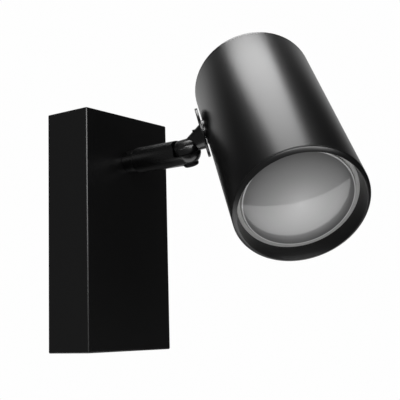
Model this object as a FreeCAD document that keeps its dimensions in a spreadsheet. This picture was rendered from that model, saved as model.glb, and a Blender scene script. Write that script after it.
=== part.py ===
import FreeCAD, Part
import math
import os
import re

import Sketcher
from FreeCAD import Placement, Rotation, Vector

# Pivoting spotlight wall light: a folded wall box, a short round arm that swivels in the
# box, a half-lap knuckle that tilts, and a round lamp head that turns on a thin disc.
#
# Millimetres. The wall is the plane Y = 0, the light stands out from it along -Y and +Z
# is up. The origin is the centre of the wall box's back. Four frames are used:
#   wall frame  as above
#   arm frame   origin where the arm's axis leaves the box's face, Z out along the arm,
#               Y along the knuckle's hinge axis
#   stem frame  origin at the hinge point, Z from the hinge to the head, Y as in the arm
#   head frame  origin at the middle of the head's front rim, Z out of the lens,
#               X from the head's axis towards the stem

SIZES = [
    # wall box
    ("box_width", 61.5, "wall box across X"),
    ("box_height", 119.5, "wall box along Z"),
    ("box_depth", 26.7, "wall box out from the wall"),
    ("cover_wall", 1.2, "sheet of the cover"),
    ("cover_edge", 0.8, "outer rounding of the folded edges"),
    ("bracket_width", 44.0, "wall bracket across X"),
    ("bracket_sheet", 1.5, "sheet of the wall bracket"),
    ("bracket_clear", 0.5, "gap between bracket and cover at each end"),
    ("lug_width", 16.0, "folded lug across X"),
    ("lug_depth", 13.0, "folded lug out from the wall"),
    ("slot_inset", 12.05, "wall slot's centre from the bracket's end"),
    ("slot_width", 4.5, "wall slot across"),
    ("slot_run", 5.0, "wall slot between its round ends' centres"),
    ("inlet_bore", 14.0, "supply cable hole in the bracket"),
    ("inlet_drop", 31.0, "supply cable hole below the box's middle"),
    ("grommet_flange", 18.0, "grommet's flange diameter"),
    ("grommet_height", 2.0, "grommet's flange thickness"),
    ("grommet_bore", 8.0, "grommet's cable hole"),
    ("cover_screw_dia", 3.0, "grub screws that hold the cover"),
    ("cover_screw_length", 6.0, "grub screw length"),
    ("cover_screw_back", 8.0, "grub screws' distance from the wall"),
    # terminals
    ("block_width", 30.0, "terminal block across X"),
    ("block_height", 17.0, "terminal block along Z"),
    ("block_depth", 14.0, "terminal block out from the bracket"),
    ("block_drop", 12.0, "terminal block's middle below the box's middle"),
    ("pole_pitch", 9.0, "between terminal poles"),
    ("insert_dia", 5.6, "brass insert"),
    ("insert_bore", 3.0, "brass insert's wire hole"),
    ("insert_lift", 6.0, "inserts' axis above the bracket"),
    ("terminal_screw_dia", 3.4, "terminal screw"),
    ("block_screw_dia", 3.0, "screw that holds the block"),
    ("earth_screw_dia", 4.0, "earth screw on the bracket"),
    ("earth_offset", 15.0, "earth screw beside the box's middle"),
    ("earth_lift", 9.0, "earth screw above the box's middle"),
    ("lead_dia", 1.6, "insulated single lead"),
    # arm
    ("arm_drop", 23.75, "arm's axis below the box's top"),
    ("arm_turn", 25.5, "arm turned about its axis, degrees"),
    ("arm_dia", 13.0, "arm rod"),
    ("arm_bore", 6.4, "lead hole in the arm"),
    ("arm_heel", 1.3, "rounding at the arm's rear end"),
    ("neck_dia", 11.0, "collar between box and arm"),
    ("neck_length", 6.4, "collar's length with its running gap"),
    ("nipple_dia", 10.0, "threaded nipple"),
    ("nipple_bore", 7.0, "lead hole in the nipple"),
    ("nipple_grip", 8.0, "nipple's length inside the arm"),
    ("nipple_tail", 2.0, "nipple's length past its nut"),
    ("swivel_side", 36.0, "square plate behind the cover's front"),
    ("swivel_sheet", 2.0, "sheet of that plate"),
    ("friction_sheet", 0.8, "swivel's friction washer"),
    ("stop_sheet", 1.0, "swivel's stop washer"),
    ("washer_dia", 16.0, "swivel's washers"),
    ("stop_reach", 13.5, "stop tab's tip from the arm's axis"),
    ("stop_width", 2.7, "stop tab and stop lug across"),
    ("nut_across", 14.0, "swivel nut across flats"),
    ("nut_height", 3.0, "swivel nut"),
    ("run_gap", 0.1, "gap between faces that turn on each other"),
    ("run_clear", 0.05, "radial clearance of a turning fit"),
    # knuckle
    ("pivot_reach", 38.4, "hinge point out from the box's face"),
    ("knuckle_bend", 36.0, "stem turned from the arm's line, degrees"),
    ("lap_gap", 0.4, "between the two lapped halves"),
    ("relief_gap", 0.3, "between the stem's round end and the arm"),
    ("shoulder_back", 4.3, "arm's shoulder behind the hinge point"),
    ("pocket_outer", 10.8, "lead pocket round the hinge, outside"),
    ("pocket_inner", 6.2, "lead pocket round the hinge, inside"),
    ("pocket_depth", 2.4, "lead pocket below the lapped face"),
    ("lap_washer_sheet", 0.3, "washer between the lapped halves"),
    ("pivot_screw_dia", 4.0, "pivot screw"),
    ("pivot_screw_grip", 4.8, "pivot screw's length in the stem"),
    ("pivot_head_dia", 7.6, "pivot screw's head"),
    ("pivot_head_height", 2.6, "pivot screw's head"),
    ("counterbore_depth", 2.6, "recess for that head in the arm"),
    ("counterbore_clear", 0.4, "round that head"),
    ("spring_sheet", 0.6, "spring washer under that head"),
    ("crown_margin", 0.9, "ball that rounds the stem's lapped end, past the arm's radius"),
    # stem and disc
    ("stem_reach", 11.0, "hinge point to the head's surface"),
    ("stem_offset", 7.0, "disc's centre along the hinge axis"),
    ("neck_root", 2.4, "stem neck's axis above the lapped face's plane"),
    ("neck_lean", 14.6, "stem neck's lean, degrees"),
    ("neck_root_dia", 6.0, "stem neck at the hinge"),
    ("neck_flare", 17.0, "stem neck's half angle, degrees"),
    ("neck_bore", 3.6, "lead hole through the stem's neck"),
    ("disc_dia", 24.5, "thin disc that the head turns on"),
    ("disc_sheet", 1.4, "that disc's thickness"),
    ("disc_round", 0.3, "that disc's edge rounding"),
    ("stud_dia", 6.0, "hollow stud"),
    ("stud_bore", 3.8, "lead hole in the stud"),
    ("stud_socket", 0.9, "stud's length in the stem"),
    ("stud_tail", 1.2, "stud's length past its nut"),
    ("stud_washer_dia", 10.4, "washer under the stud's nut"),
    ("stud_washer_sheet", 0.8, "that washer's thickness"),
    ("stud_nut_across", 10.0, "stud's nut across flats"),
    ("stud_nut_height", 3.0, "stud's nut"),
    ("grip_screw_dia", 2.5, "grub screw that grips the leads"),
    ("grip_screw_at", 6.2, "that screw's distance from the hinge point"),
    ("grip_screw_top", 9.6, "that screw's end above the lap plane"),
    ("grip_screw_length", 3.4, "that screw's length"),
    # head
    ("head_turn", 24.8, "head turned on its disc, degrees"),
    ("head_dia", 60.0, "head tube"),
    ("head_length", 104.6, "head behind its front rim"),
    ("head_wall", 1.8, "head tube's wall"),
    ("stud_setback", 75.7, "stud behind the front rim"),
    ("pad_dia", 12.0, "saddle pad between disc and tube"),
    ("pad_sheet", 0.5, "that pad at its thinnest"),
    ("saddle_dia", 16.0, "saddle inside the tube"),
    ("saddle_sheet", 1.8, "that saddle at its thickest"),
    ("saddle_stop_width", 2.4, "stop tab on the stud's washer"),
    ("saddle_stop_sector", 154.0, "stop rib on the saddle, degrees"),
    ("cap_sheet", 2.0, "rear cap"),
    ("cap_round", 1.0, "rear cap's edge rounding"),
    ("cap_skirt", 8.0, "rear cap's skirt inside the tube"),
    ("skirt_wall", 1.6, "skirts' wall"),
    ("skirt_clear", 0.05, "between skirts and tube"),
    ("vent_length", 8.0, "vent slot in the rear cap"),
    ("vent_width", 2.2, "vent slot across"),
    ("vent_radius", 20.0, "vent slots' middle from the axis"),
    # front ring and lamp
    ("ring_flange", 1.0, "front ring's visible band"),
    ("ring_lip", 1.2, "front ring's lip in front of the rim"),
    ("ring_edge", 0.4, "front ring's broken outer edge"),
    ("ring_face", 2.0, "front ring's face across"),
    ("ring_taper", 1.1, "front ring's inside closes in by"),
    ("seat_depth", 6.4, "centring ring behind the rim"),
    ("seat_height", 2.0, "centring ring's thickness"),
    ("seat_shelf", 1.6, "shelf under the centring ring"),
    ("lamp_dia", 49.8, "lamp's face"),
    ("lamp_clear", 0.15, "round the lamp's face"),
    ("lamp_recess", 5.55, "lamp's face behind the rim"),
    ("lens_margin", 0.2, "lamp's rim outside its lens"),
    ("lamp_band", 4.0, "lamp's straight rim"),
    ("lamp_length", 43.0, "lamp without its pins"),
    ("lamp_waist", 34.0, "lamp's diameter at its waist"),
    ("lamp_base", 24.0, "lamp's base"),
    ("lens_sheet", 1.6, "lamp's lens at its edge"),
    ("lens_dome", 3.6, "lamp's lens rises by"),
    ("pin_pitch", 10.0, "between the lamp's pins"),
    ("pin_dia", 3.0, "lamp pin"),
    ("pin_foot", 5.0, "lamp pin's foot"),
    ("pin_length", 7.0, "lamp pin"),
    # lampholder and its frame
    ("holder_length", 29.0, "lampholder across X"),
    ("holder_width", 17.0, "lampholder across Y"),
    ("holder_height", 14.0, "lampholder along the head"),
    ("holder_gap", 0.3, "between lamp and lampholder"),
    ("holder_screw_pitch", 22.0, "between the lampholder's screws"),
    ("holder_screw_dia", 2.6, "lampholder's screws"),
    ("holder_sink", 9.0, "depth of those screws' heads"),
    ("plate_length", 34.0, "holder plate across X"),
    ("plate_width", 30.0, "holder plate across Y"),
    ("plate_sheet", 1.2, "holder plate"),
    ("plate_hole", 9.0, "lead hole in the holder plate"),
    ("pillar_pitch", 24.0, "between the pillars"),
    ("pillar_dia", 6.0, "pillar"),
    ("pillar_screw_dia", 3.0, "screws into the pillars"),
    ("head_earth_x", -12.5, "earth screw on the holder plate, X"),
    ("head_earth_y", 5.5, "earth screw on the holder plate, Y"),
]
ALIASES = {alias for alias, _, _ in SIZES}

TO_X = Rotation(Vector(0, 1, 0), 90)
TO_Y = Rotation(Vector(1, 0, 0), -90)
TO_MINUS_Y = Rotation(Vector(1, 0, 0), 90)

doc = FreeCAD.newDocument("pivoting_spotlight")
dims = doc.addObject("Spreadsheet::Sheet", "dims")
for row, (alias, value, meaning) in enumerate(SIZES, start=1):
    dims.set(f"A{row}", alias)
    dims.set(f"B{row}", str(value))
    dims.set(f"C{row}", meaning)
    dims.setAlias(f"B{row}", alias)
doc.recompute()

nodes = []


# ---------------------------------------------------------------- helpers


def size(alias):
    """A driving dimension's value."""
    return float(dims.get(alias))


def link(text):
    """An expression in which each alias points at its cell in the sheet."""
    return re.sub(r"[a-z_]+", lambda word: ("dims." if word.group() in ALIASES else "") + word.group(),
                  text)


def keep(node, label, frame):
    """Names a finished sub-part, puts it in its frame and lists it for export."""
    node.Label = label
    node.Placement = frame
    nodes.append(node)
    return node


def new_body(name):
    return doc.addObject("PartDesign::Body", name)


def new_sketch(body, name, role, offset="0"):
    """A sketch on one of the body's origin planes, moved along its normal by offset."""
    sketch = body.newObject("Sketcher::SketchObject", name)
    plane = next(item for item in body.Origin.OriginFeatures if item.Role == role)
    sketch.AttachmentSupport = (plane, [""])
    sketch.MapMode = "FlatFace"
    sketch.setExpression("AttachmentOffset.Base.z", link(offset))
    return sketch


def bind_point(sketch, geometry, end, point):
    """Holds a point of the sketch at two expressions."""
    start = sketch.getPoint(geometry, end)
    for kind, now, wanted in (("DistanceX", start.x, point[0]), ("DistanceY", start.y, point[1])):
        index = sketch.addConstraint(Sketcher.Constraint(kind, -1, 1, geometry, end, now))
        sketch.setExpression(f"Constraints[{index}]", link(wanted))


def polygon(sketch, points):
    """A closed outline through points, each a pair of expressions."""
    count = len(points)
    first = sketch.GeometryCount
    spots = [Vector(10 * math.cos(step), 10 * math.sin(step), 0)
             for step in (2 * math.pi * index / count for index in range(count))]
    for index in range(count):
        sketch.addGeometry(Part.LineSegment(spots[index], spots[(index + 1) % count]), False)
    for index in range(count):
        following = first + (index + 1) % count
        sketch.addConstraint(Sketcher.Constraint("Coincident", first + index, 2, following, 1))
    for index, point in enumerate(points):
        bind_point(sketch, first + index, 1, point)


def rectangle(sketch, middle_x, middle_y, width, height):
    left, right = f"{middle_x} - ({width}) / 2", f"{middle_x} + ({width}) / 2"
    low, high = f"{middle_y} - ({height}) / 2", f"{middle_y} + ({height}) / 2"
    polygon(sketch, [(left, low), (right, low), (right, high), (left, high)])


def circle(sketch, middle_x, middle_y, diameter):
    index = sketch.addGeometry(Part.Circle(Vector(1, 1, 0), Vector(0, 0, 1), 1), False)
    bind_point(sketch, index, 3, (middle_x, middle_y))
    constraint = sketch.addConstraint(Sketcher.Constraint("Diameter", index, 2))
    sketch.setExpression(f"Constraints[{constraint}]", link(diameter))


def pad(body, sketch, length):
    feature = body.newObject("PartDesign::Pad", sketch.Name + "_pad")
    feature.Profile = sketch
    feature.setExpression("Length", link(length))
    doc.recompute()
    return feature


def pocket(body, sketch, length=None):
    """Cuts the sketch away, both ways through all or one way by length."""
    before = body.Shape.Volume
    feature = body.newObject("PartDesign::Pocket", sketch.Name + "_pocket")
    feature.Profile = sketch
    if length is None:
        feature.Type = "ThroughAll"
        feature.Midplane = True
    else:
        feature.setExpression("Length", link(length))
    doc.recompute()
    if body.Shape.Volume > before - 1e-6:
        feature.Reversed = True
        doc.recompute()
    if body.Shape.Volume > before - 1e-6:
        raise RuntimeError(f"{feature.Name} cuts nothing")
    return feature


def revolution(name, points):
    """A body turned about Z from an outline of (radius, height) expressions."""
    body = new_body(name)
    sketch = new_sketch(body, name + "_profile", "XZ_Plane")
    polygon(sketch, points)
    feature = body.newObject("PartDesign::Revolution", name + "_turned")
    feature.Profile = sketch
    feature.ReferenceAxis = (sketch, ["V_Axis"])
    feature.Angle = 360
    doc.recompute()
    return body


def ring_profile(inner, outer, low, high):
    """Outline of a plain ring between two radii and two heights."""
    return [(inner, low), (outer, low), (outer, high), (inner, high)]


def round_edges(body, radius, wanted):
    """Rounds the edges of the body that wanted(edge) picks."""
    base = body.Tip
    names = [f"Edge{index}" for index, edge in enumerate(base.Shape.Edges, start=1) if wanted(edge)]
    feature = body.newObject("PartDesign::Fillet", body.Name + "_rounding")
    feature.Base = (base, names)
    feature.setExpression("Radius", link(radius))
    doc.recompute()
    return feature


def solid(kind, name, sizes, base=("0", "0", "0"), rotation=Rotation()):
    """A Part primitive whose sizes and base point are expressions."""
    item = doc.addObject(kind, name)
    for key, text in sizes.items():
        item.setExpression(key, link(text))
    item.Placement = Placement(Vector(0, 0, 0), rotation)
    for axis, text in zip("xyz", base):
        item.setExpression(f"Placement.Base.{axis}", link(text))
    return item


def cylinder(name, radius, height, base=("0", "0", "0"), rotation=Rotation()):
    return solid("Part::Cylinder", name, {"Radius": radius, "Height": height}, base, rotation)


def block(name, length, width, height, base):
    return solid("Part::Box", name, {"Length": length, "Width": width, "Height": height}, base)


def hexagon(name, across, height, base=("0", "0", "0"), rotation=Rotation()):
    item = solid("Part::Prism", name, {"Circumradius": f"({across}) / sqrt(3)", "Height": height},
                 base, rotation)
    item.Polygon = 6
    return item


def cut(name, base, *tools):
    """The base without its tools."""
    item = doc.addObject("Part::Cut", name)
    item.Base = base
    item.Tool = tools[0] if len(tools) == 1 else fuse(name + "_tools", *tools)
    return item


def fuse(name, *parts):
    item = doc.addObject("Part::MultiFuse", name)
    item.Shapes = list(parts)
    item.Refine = True
    return item


def common(name, *parts):
    item = doc.addObject("Part::MultiCommon", name)
    item.Shapes = list(parts)
    return item


def group(name, *parts):
    item = doc.addObject("Part::Compound", name)
    item.Links = list(parts)
    return item


def ring(name, outer, inner, height, base=("0", "0", "0"), rotation=Rotation()):
    """A plain washer."""
    outside = cylinder(name + "_outside", outer, height, base, rotation)
    inside = cylinder(name + "_inside", inner, height, base, rotation)
    return cut(name, outside, inside)


def lead_shape(points):
    """A round lead along straight runs joined by tangent arcs as large as the runs allow."""
    edges, radii = [], []
    start = points[0]
    for before, corner, after in zip(points, points[1:], points[2:]):
        into, out = corner - before, after - corner
        reach = 0.45 * min(into.Length, out.Length)
        into.normalize()
        out.normalize()
        turn = into.getAngle(out)
        radius = reach / math.tan(turn / 2)
        enter, leave = corner - into * reach, corner + out * reach
        inward = (out - into).normalize()
        middle = corner + inward * (radius / math.cos(turn / 2) - radius)
        edges.append(Part.LineSegment(start, enter).toShape())
        edges.append(Part.Arc(enter, middle, leave).toShape())
        radii.append(round(radius, 1))
        start = leave
    edges.append(Part.LineSegment(start, points[-1]).toShape())
    path = Part.Wire(edges)
    heading = (points[1] - points[0]).normalize()
    section = Part.Wire([Part.Circle(points[0], heading, size("lead_dia") / 2).toShape()])
    tube = path.makePipeShell([section], True, False)
    expected = path.Length * math.pi * size("lead_dia") ** 2 / 4
    print("bend radii", radii, "volume over section times length", round(tube.Volume / expected, 4))
    return tube


def lead(name, points, frame):
    """A lead as a node of its own."""
    feature = doc.addObject("Part::Feature", name)
    feature.Shape = lead_shape([Vector(*point) for point in points])
    return keep(feature, name, frame)


def bundle_spots(bore):
    """Where the live, earth and neutral leads lie against the wall of a bore."""
    radius = (size(bore) - size("lead_dia")) / 2
    return [(radius * math.cos(math.radians(angle)), radius * math.sin(math.radians(angle)))
            for angle in (210, 330, 90)]


# ---------------------------------------------------------------- frames

WALL = Placement()
FACE = "box_depth - cover_wall"
ARM_HEIGHT = "(box_height / 2 - arm_drop)"
ARM = Placement(Vector(0, -size("box_depth"), size("box_height") / 2 - size("arm_drop")),
                Rotation(Vector(0, 1, 0), -size("arm_turn")) * TO_MINUS_Y)
STEM = ARM * Placement(Vector(0, 0, size("pivot_reach")),
                       Rotation(Vector(0, 1, 0), size("knuckle_bend")))


def head_frame():
    """The head's frame: its surface touches the saddle pad at the stud."""
    turn = size("head_turn")
    along = Vector(-math.cos(math.radians(turn)), -math.sin(math.radians(turn)), 0)
    touch = Vector(0, size("stem_offset"), size("stem_reach"))
    middle = touch + Vector(0, 0, size("head_dia") / 2) + along * size("stud_setback")
    flip = Rotation(Vector(1, 0, -1), 180)
    return STEM * Placement(middle, Rotation(Vector(0, 0, 1), turn) * flip)


HEAD = head_frame()


# ---------------------------------------------------------------- wall box


def box_cover():
    """Folded cover, open towards the wall."""
    body = new_body("box_cover")
    outline = new_sketch(body, "cover_outline", "XZ_Plane")
    rectangle(outline, "0", "0", "box_width", "box_height")
    pad(body, outline, "box_depth")
    round_edges(body, "cover_edge", lambda edge: edge.BoundBox.YMin < -1e-6)
    inside = new_sketch(body, "cover_inside", "XZ_Plane")
    rectangle(inside, "0", "0", "box_width - 2 * cover_wall", "box_height - 2 * cover_wall")
    pocket(body, inside, FACE)
    hole = new_sketch(body, "cover_arm_hole", "XZ_Plane", FACE + " - 1")
    circle(hole, "0", ARM_HEIGHT, "nipple_dia + 2 * run_clear")
    pocket(body, hole, "cover_wall + 2")
    screw_holes = new_sketch(body, "cover_screw_holes", "XY_Plane")
    circle(screw_holes, "0", "-cover_screw_back", "cover_screw_dia")
    pocket(body, screw_holes)
    keep(body, "box_cover", WALL)


BRACKET_LENGTH = "(box_height - 2 * cover_wall - 2 * bracket_clear)"
SLOT_AT = f"({BRACKET_LENGTH} / 2 - slot_inset)"


def wall_bracket():
    """Bracket that is screwed to the wall and holds the cover by two folded lugs."""
    body = new_body("wall_bracket")
    plate = new_sketch(body, "bracket_plate", "XZ_Plane")
    rectangle(plate, "0", "0", "bracket_width", BRACKET_LENGTH)
    pad(body, plate, "bracket_sheet")
    lugs = new_sketch(body, "bracket_lugs", "XZ_Plane")
    for side in ("", "-"):
        rectangle(lugs, "0", f"{side}({BRACKET_LENGTH} - bracket_sheet) / 2", "lug_width",
                  "bracket_sheet")
    pad(body, lugs, "lug_depth")
    runs = new_sketch(body, "bracket_slot_runs", "XZ_Plane")
    ends = new_sketch(body, "bracket_slot_ends", "XZ_Plane")
    for side in ("", "-"):
        rectangle(runs, "0", side + SLOT_AT, "slot_width", "slot_run")
    pocket(body, runs)
    for side in ("", "-"):
        for end in ("+", "-"):
            circle(ends, "0", f"{side}{SLOT_AT} {end} slot_run / 2", "slot_width")
    pocket(body, ends)
    holes = new_sketch(body, "bracket_holes", "XZ_Plane")
    circle(holes, "0", "-inlet_drop", "inlet_bore")
    circle(holes, "earth_offset", "earth_lift", "earth_screw_dia")
    circle(holes, "pole_pitch / 2", "-block_drop", "block_screw_dia")
    pocket(body, holes)
    threads = new_sketch(body, "bracket_threads", "XY_Plane")
    circle(threads, "0", "-cover_screw_back", "cover_screw_dia")
    pocket(body, threads)
    keep(body, "wall_bracket", WALL)


def swivel_plate():
    """Plate behind the cover's front that carries the arm, with the swivel's stop lug."""
    body = new_body("swivel_plate")
    plate = new_sketch(body, "swivel_square", "XZ_Plane", FACE + " - swivel_sheet")
    rectangle(plate, "0", ARM_HEIGHT, "swivel_side", "swivel_side")
    pad(body, plate, "swivel_sheet")
    lug_height = "(run_gap + friction_sheet + stop_sheet)"
    lug = new_sketch(body, "swivel_lug", "XZ_Plane", f"{FACE} - swivel_sheet - {lug_height}")
    rectangle(lug, "0", f"{ARM_HEIGHT} + stop_reach - stop_width / 2", "stop_width", "stop_width")
    pad(body, lug, lug_height)
    hole = new_sketch(body, "swivel_hole", "XZ_Plane")
    circle(hole, "0", ARM_HEIGHT, "nipple_dia + 2 * run_clear")
    pocket(body, hole)
    keep(body, "swivel_plate", WALL)


def cover_screws():
    """Two grub screws, top and bottom, flush in the cover and screwed into the lugs."""
    screws = []
    for side, at in (("top", "box_height / 2 - 0.2 - cover_screw_length"),
                     ("bottom", "0.2 - box_height / 2")):
        base = ("0", "-cover_screw_back", at)
        shank = cylinder(f"cover_screw_{side}_shank", "cover_screw_dia / 2", "cover_screw_length", base)
        socket_at = "box_height / 2 - 1.7" if side == "top" else "0.2 - box_height / 2"
        socket = hexagon(f"cover_screw_{side}_socket", "cover_screw_dia / 2", "1.5",
                         ("0", "-cover_screw_back", socket_at))
        screws.append(cut(f"cover_screw_{side}", shank, socket))
    keep(group("cover_screws", *screws), "cover_screws", WALL)


def inlet_grommet():
    """Rubber grommet in the bracket's cable hole, flush with the wall."""
    flange = cylinder("grommet_flange_disc", "grommet_flange / 2", "grommet_height",
                      ("0", "-bracket_sheet", "-inlet_drop"), TO_MINUS_Y)
    neck = cylinder("grommet_neck", "inlet_bore / 2", "bracket_sheet", ("0", "0", "-inlet_drop"),
                    TO_MINUS_Y)
    bore = cylinder("grommet_hole", "grommet_bore / 2", "bracket_sheet + grommet_height",
                    ("0", "0", "-inlet_drop"), TO_MINUS_Y)
    keep(cut("inlet_grommet", fuse("grommet_solid", flange, neck), bore), "inlet_grommet", WALL)


POLES = ("-pole_pitch", "0", "pole_pitch")


def terminal_block():
    """Three-pole terminal block."""
    body = new_body("terminal_block")
    outline = new_sketch(body, "block_outline", "XZ_Plane", "bracket_sheet")
    rectangle(outline, "0", "-block_drop", "block_width", "block_height")
    pad(body, outline, "block_depth")
    wires = new_sketch(body, "block_wire_holes", "XY_Plane")
    screws = new_sketch(body, "block_screw_holes", "XZ_Plane", "bracket_sheet + block_depth")
    for pole in POLES:
        circle(wires, pole, "-bracket_sheet - insert_lift", "insert_dia")
        for end in ("+", "-"):
            circle(screws, pole, f"-block_drop {end} block_height / 4", "terminal_screw_dia")
    pocket(body, wires)
    pocket(body, screws, "block_depth - insert_lift")
    through = new_sketch(body, "block_through_hole", "XZ_Plane")
    circle(through, "pole_pitch / 2", "-block_drop", "block_screw_dia")
    pocket(body, through)
    keep(body, "terminal_block", WALL)


def terminal_metal():
    """Brass inserts of the terminal block and the screws that grip the leads in them."""
    inserts, screws = [], []
    middle = "-bracket_sheet - insert_lift"
    for number, pole in enumerate(POLES, start=1):
        base = (pole, middle, "-block_drop - block_height / 2 + 1")
        tube = cylinder(f"insert_{number}_tube", "insert_dia / 2", "block_height - 2", base)
        bore = cylinder(f"insert_{number}_bore", "insert_bore / 2", "block_height - 2", base)
        drills = []
        for end in ("+", "-"):
            at = (pole, middle, f"-block_drop {end} block_height / 4")
            drills.append(cylinder(f"insert_{number}_drill_{len(drills)}", "terminal_screw_dia / 2",
                                   "insert_dia", at, TO_MINUS_Y))
            top = (pole, f"{middle} - lead_dia / 2", f"-block_drop {end} block_height / 4")
            shank = cylinder(f"terminal_screw_{len(screws)}_shank", "terminal_screw_dia / 2", "5",
                             top, TO_MINUS_Y)
            slot = block(f"terminal_screw_{len(screws)}_slot", "terminal_screw_dia", "0.8", "0.7",
                         (f"{pole} - terminal_screw_dia / 2", f"{top[1]} - 5", f"{top[2]} - 0.35"))
            screws.append(cut(f"terminal_screw_{len(screws)}", shank, slot))
        inserts.append(cut(f"insert_{number}", tube, bore, *drills))
    keep(group("terminal_inserts", *inserts), "terminal_inserts", WALL)
    keep(group("terminal_screws", *screws), "terminal_screws", WALL)


def pan_screw(name, diameter, head, height, length, slot=0.8):
    """A pan-head screw along Z: shank below the origin's plane, head above, slotted."""
    shank = cylinder(name + "_shank", f"{diameter} / 2", length, ("0", "0", f"-({length})"))
    top = cylinder(name + "_head", f"({head}) / 2", height)
    groove = block(name + "_groove", head, f"{slot}", f"{height} / 2",
                   (f"-({head}) / 2", f"-{slot} / 2", f"{height} / 2"))
    return cut(name, fuse(name + "_solid", shank, top), groove)


def box_fixings():
    """The block's screw and the earth terminal on the bracket."""
    screw = pan_screw("block_screw", "block_screw_dia", "4.6", "1.8", "block_depth + bracket_sheet")
    front = Vector(size("pole_pitch") / 2, -size("bracket_sheet") - size("block_depth"),
                   -size("block_drop"))
    keep(screw, "block_screw", Placement(front, TO_MINUS_Y))
    plate_top = Vector(size("earth_offset"), -size("bracket_sheet"), size("earth_lift"))
    on_plate = Placement(plate_top, TO_MINUS_Y)
    keep(ring("earth_washer", "4.4", "earth_screw_dia / 2", "0.8"), "earth_washer", on_plate)
    tag_ring = ring("earth_tag_ring", "4", "earth_screw_dia / 2", "0.8", ("0", "0", "0.8"))
    barrel_outside = cylinder("earth_tag_barrel_out", "lead_dia / 2 + 0.5", "6",
                              ("0", "3.2", "1.6 + lead_dia / 2"), TO_Y)
    barrel_inside = cylinder("earth_tag_barrel_in", "lead_dia / 2", "6",
                             ("0", "3.7", "1.6 + lead_dia / 2"), TO_Y)
    tag = cut("earth_tag", fuse("earth_tag_solid", tag_ring, barrel_outside), barrel_inside)
    keep(tag, "earth_tag", on_plate)
    earth = pan_screw("earth_screw", "earth_screw_dia", "5.4", "2.4", "bracket_sheet + 1.6")
    keep(earth, "earth_screw", on_plate * Placement(Vector(0, 0, 1.6), Rotation()))


NIPPLE_TAIL = ("(cover_wall + swivel_sheet + run_gap + friction_sheet + stop_sheet"
               " + nut_height + nipple_tail)")
LEAD_GAP = 0.3


def box_leads():
    """Live, neutral and earth leads from the terminals to the nipple's mouth."""
    names = ("cover_wall", "swivel_sheet", "run_gap", "friction_sheet", "stop_sheet", "nut_height",
             "nipple_tail")
    tail = sum(size(name) for name in names)
    ends = [ARM.multVec(Vector(*spot, -tail - LEAD_GAP)) for spot in bundle_spots("arm_bore")]
    live_end, earth_end, neutral_end = ends
    bracket = -size("bracket_sheet")
    middle = bracket - size("insert_lift")
    block_top = size("block_height") / 2 - size("block_drop")
    for name, across, end, away in (("box_live_lead", -size("pole_pitch"), live_end, 4.1),
                                    ("box_neutral_lead", 0, neutral_end, 1.8)):
        route = [(across, middle, block_top - 5), (across, middle, block_top + 8),
                 (end.x, bracket - away, block_top + 21.5), (end.x, bracket - away, end.z), end]
        lead(name, route, WALL)
    across, level = size("earth_offset"), bracket - 1.6 - size("lead_dia") / 2
    barrel = size("earth_lift") + 3.7
    route = [(across, level, barrel), (across, level, barrel + 9.5),
             (earth_end.x, level - 0.6, earth_end.z), earth_end]
    lead("box_earth_lead", route, WALL)


# ---------------------------------------------------------------- arm


def arm_fixings():
    """Hollow nipple, collar, washers and nut that let the arm turn in the box."""
    nipple = ring_profile("nipple_bore / 2", "nipple_dia / 2", "-" + NIPPLE_TAIL,
                          "neck_length + nipple_grip")
    keep(revolution("threaded_nipple", nipple), "threaded_nipple", ARM)
    keep(revolution("neck_collar", ring_profile("nipple_dia / 2", "neck_dia / 2", "run_gap",
                                                "neck_length")), "neck_collar", ARM)
    behind = "-cover_wall - swivel_sheet - run_gap"
    keep(ring("friction_washer", "washer_dia / 2", "nipple_dia / 2", "friction_sheet",
              ("0", "0", f"{behind} - friction_sheet")), "friction_washer", ARM)
    stop_at = f"{behind} - friction_sheet - stop_sheet"
    disc = cylinder("stop_disc", "washer_dia / 2", "stop_sheet", ("0", "0", stop_at))
    tab = block("stop_tab", "stop_width", "stop_reach", "stop_sheet",
                ("-stop_width / 2", "-stop_reach", stop_at))
    hole = cylinder("stop_hole", "nipple_dia / 2", "stop_sheet", ("0", "0", stop_at))
    keep(cut("stop_washer", fuse("stop_solid", disc, tab), hole), "stop_washer", ARM)
    nut_at = ("0", "0", f"{stop_at} - nut_height")
    nut = cut("arm_nut", hexagon("arm_nut_hexagon", "nut_across", "nut_height", nut_at),
              cylinder("arm_nut_thread", "nipple_dia / 2", "nut_height", nut_at))
    keep(nut, "arm_nut", ARM)


LAP_FACE = "lap_gap / 2"
COUNTERBORE_FLOOR = "(counterbore_depth - arm_dia / 2)"


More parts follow.
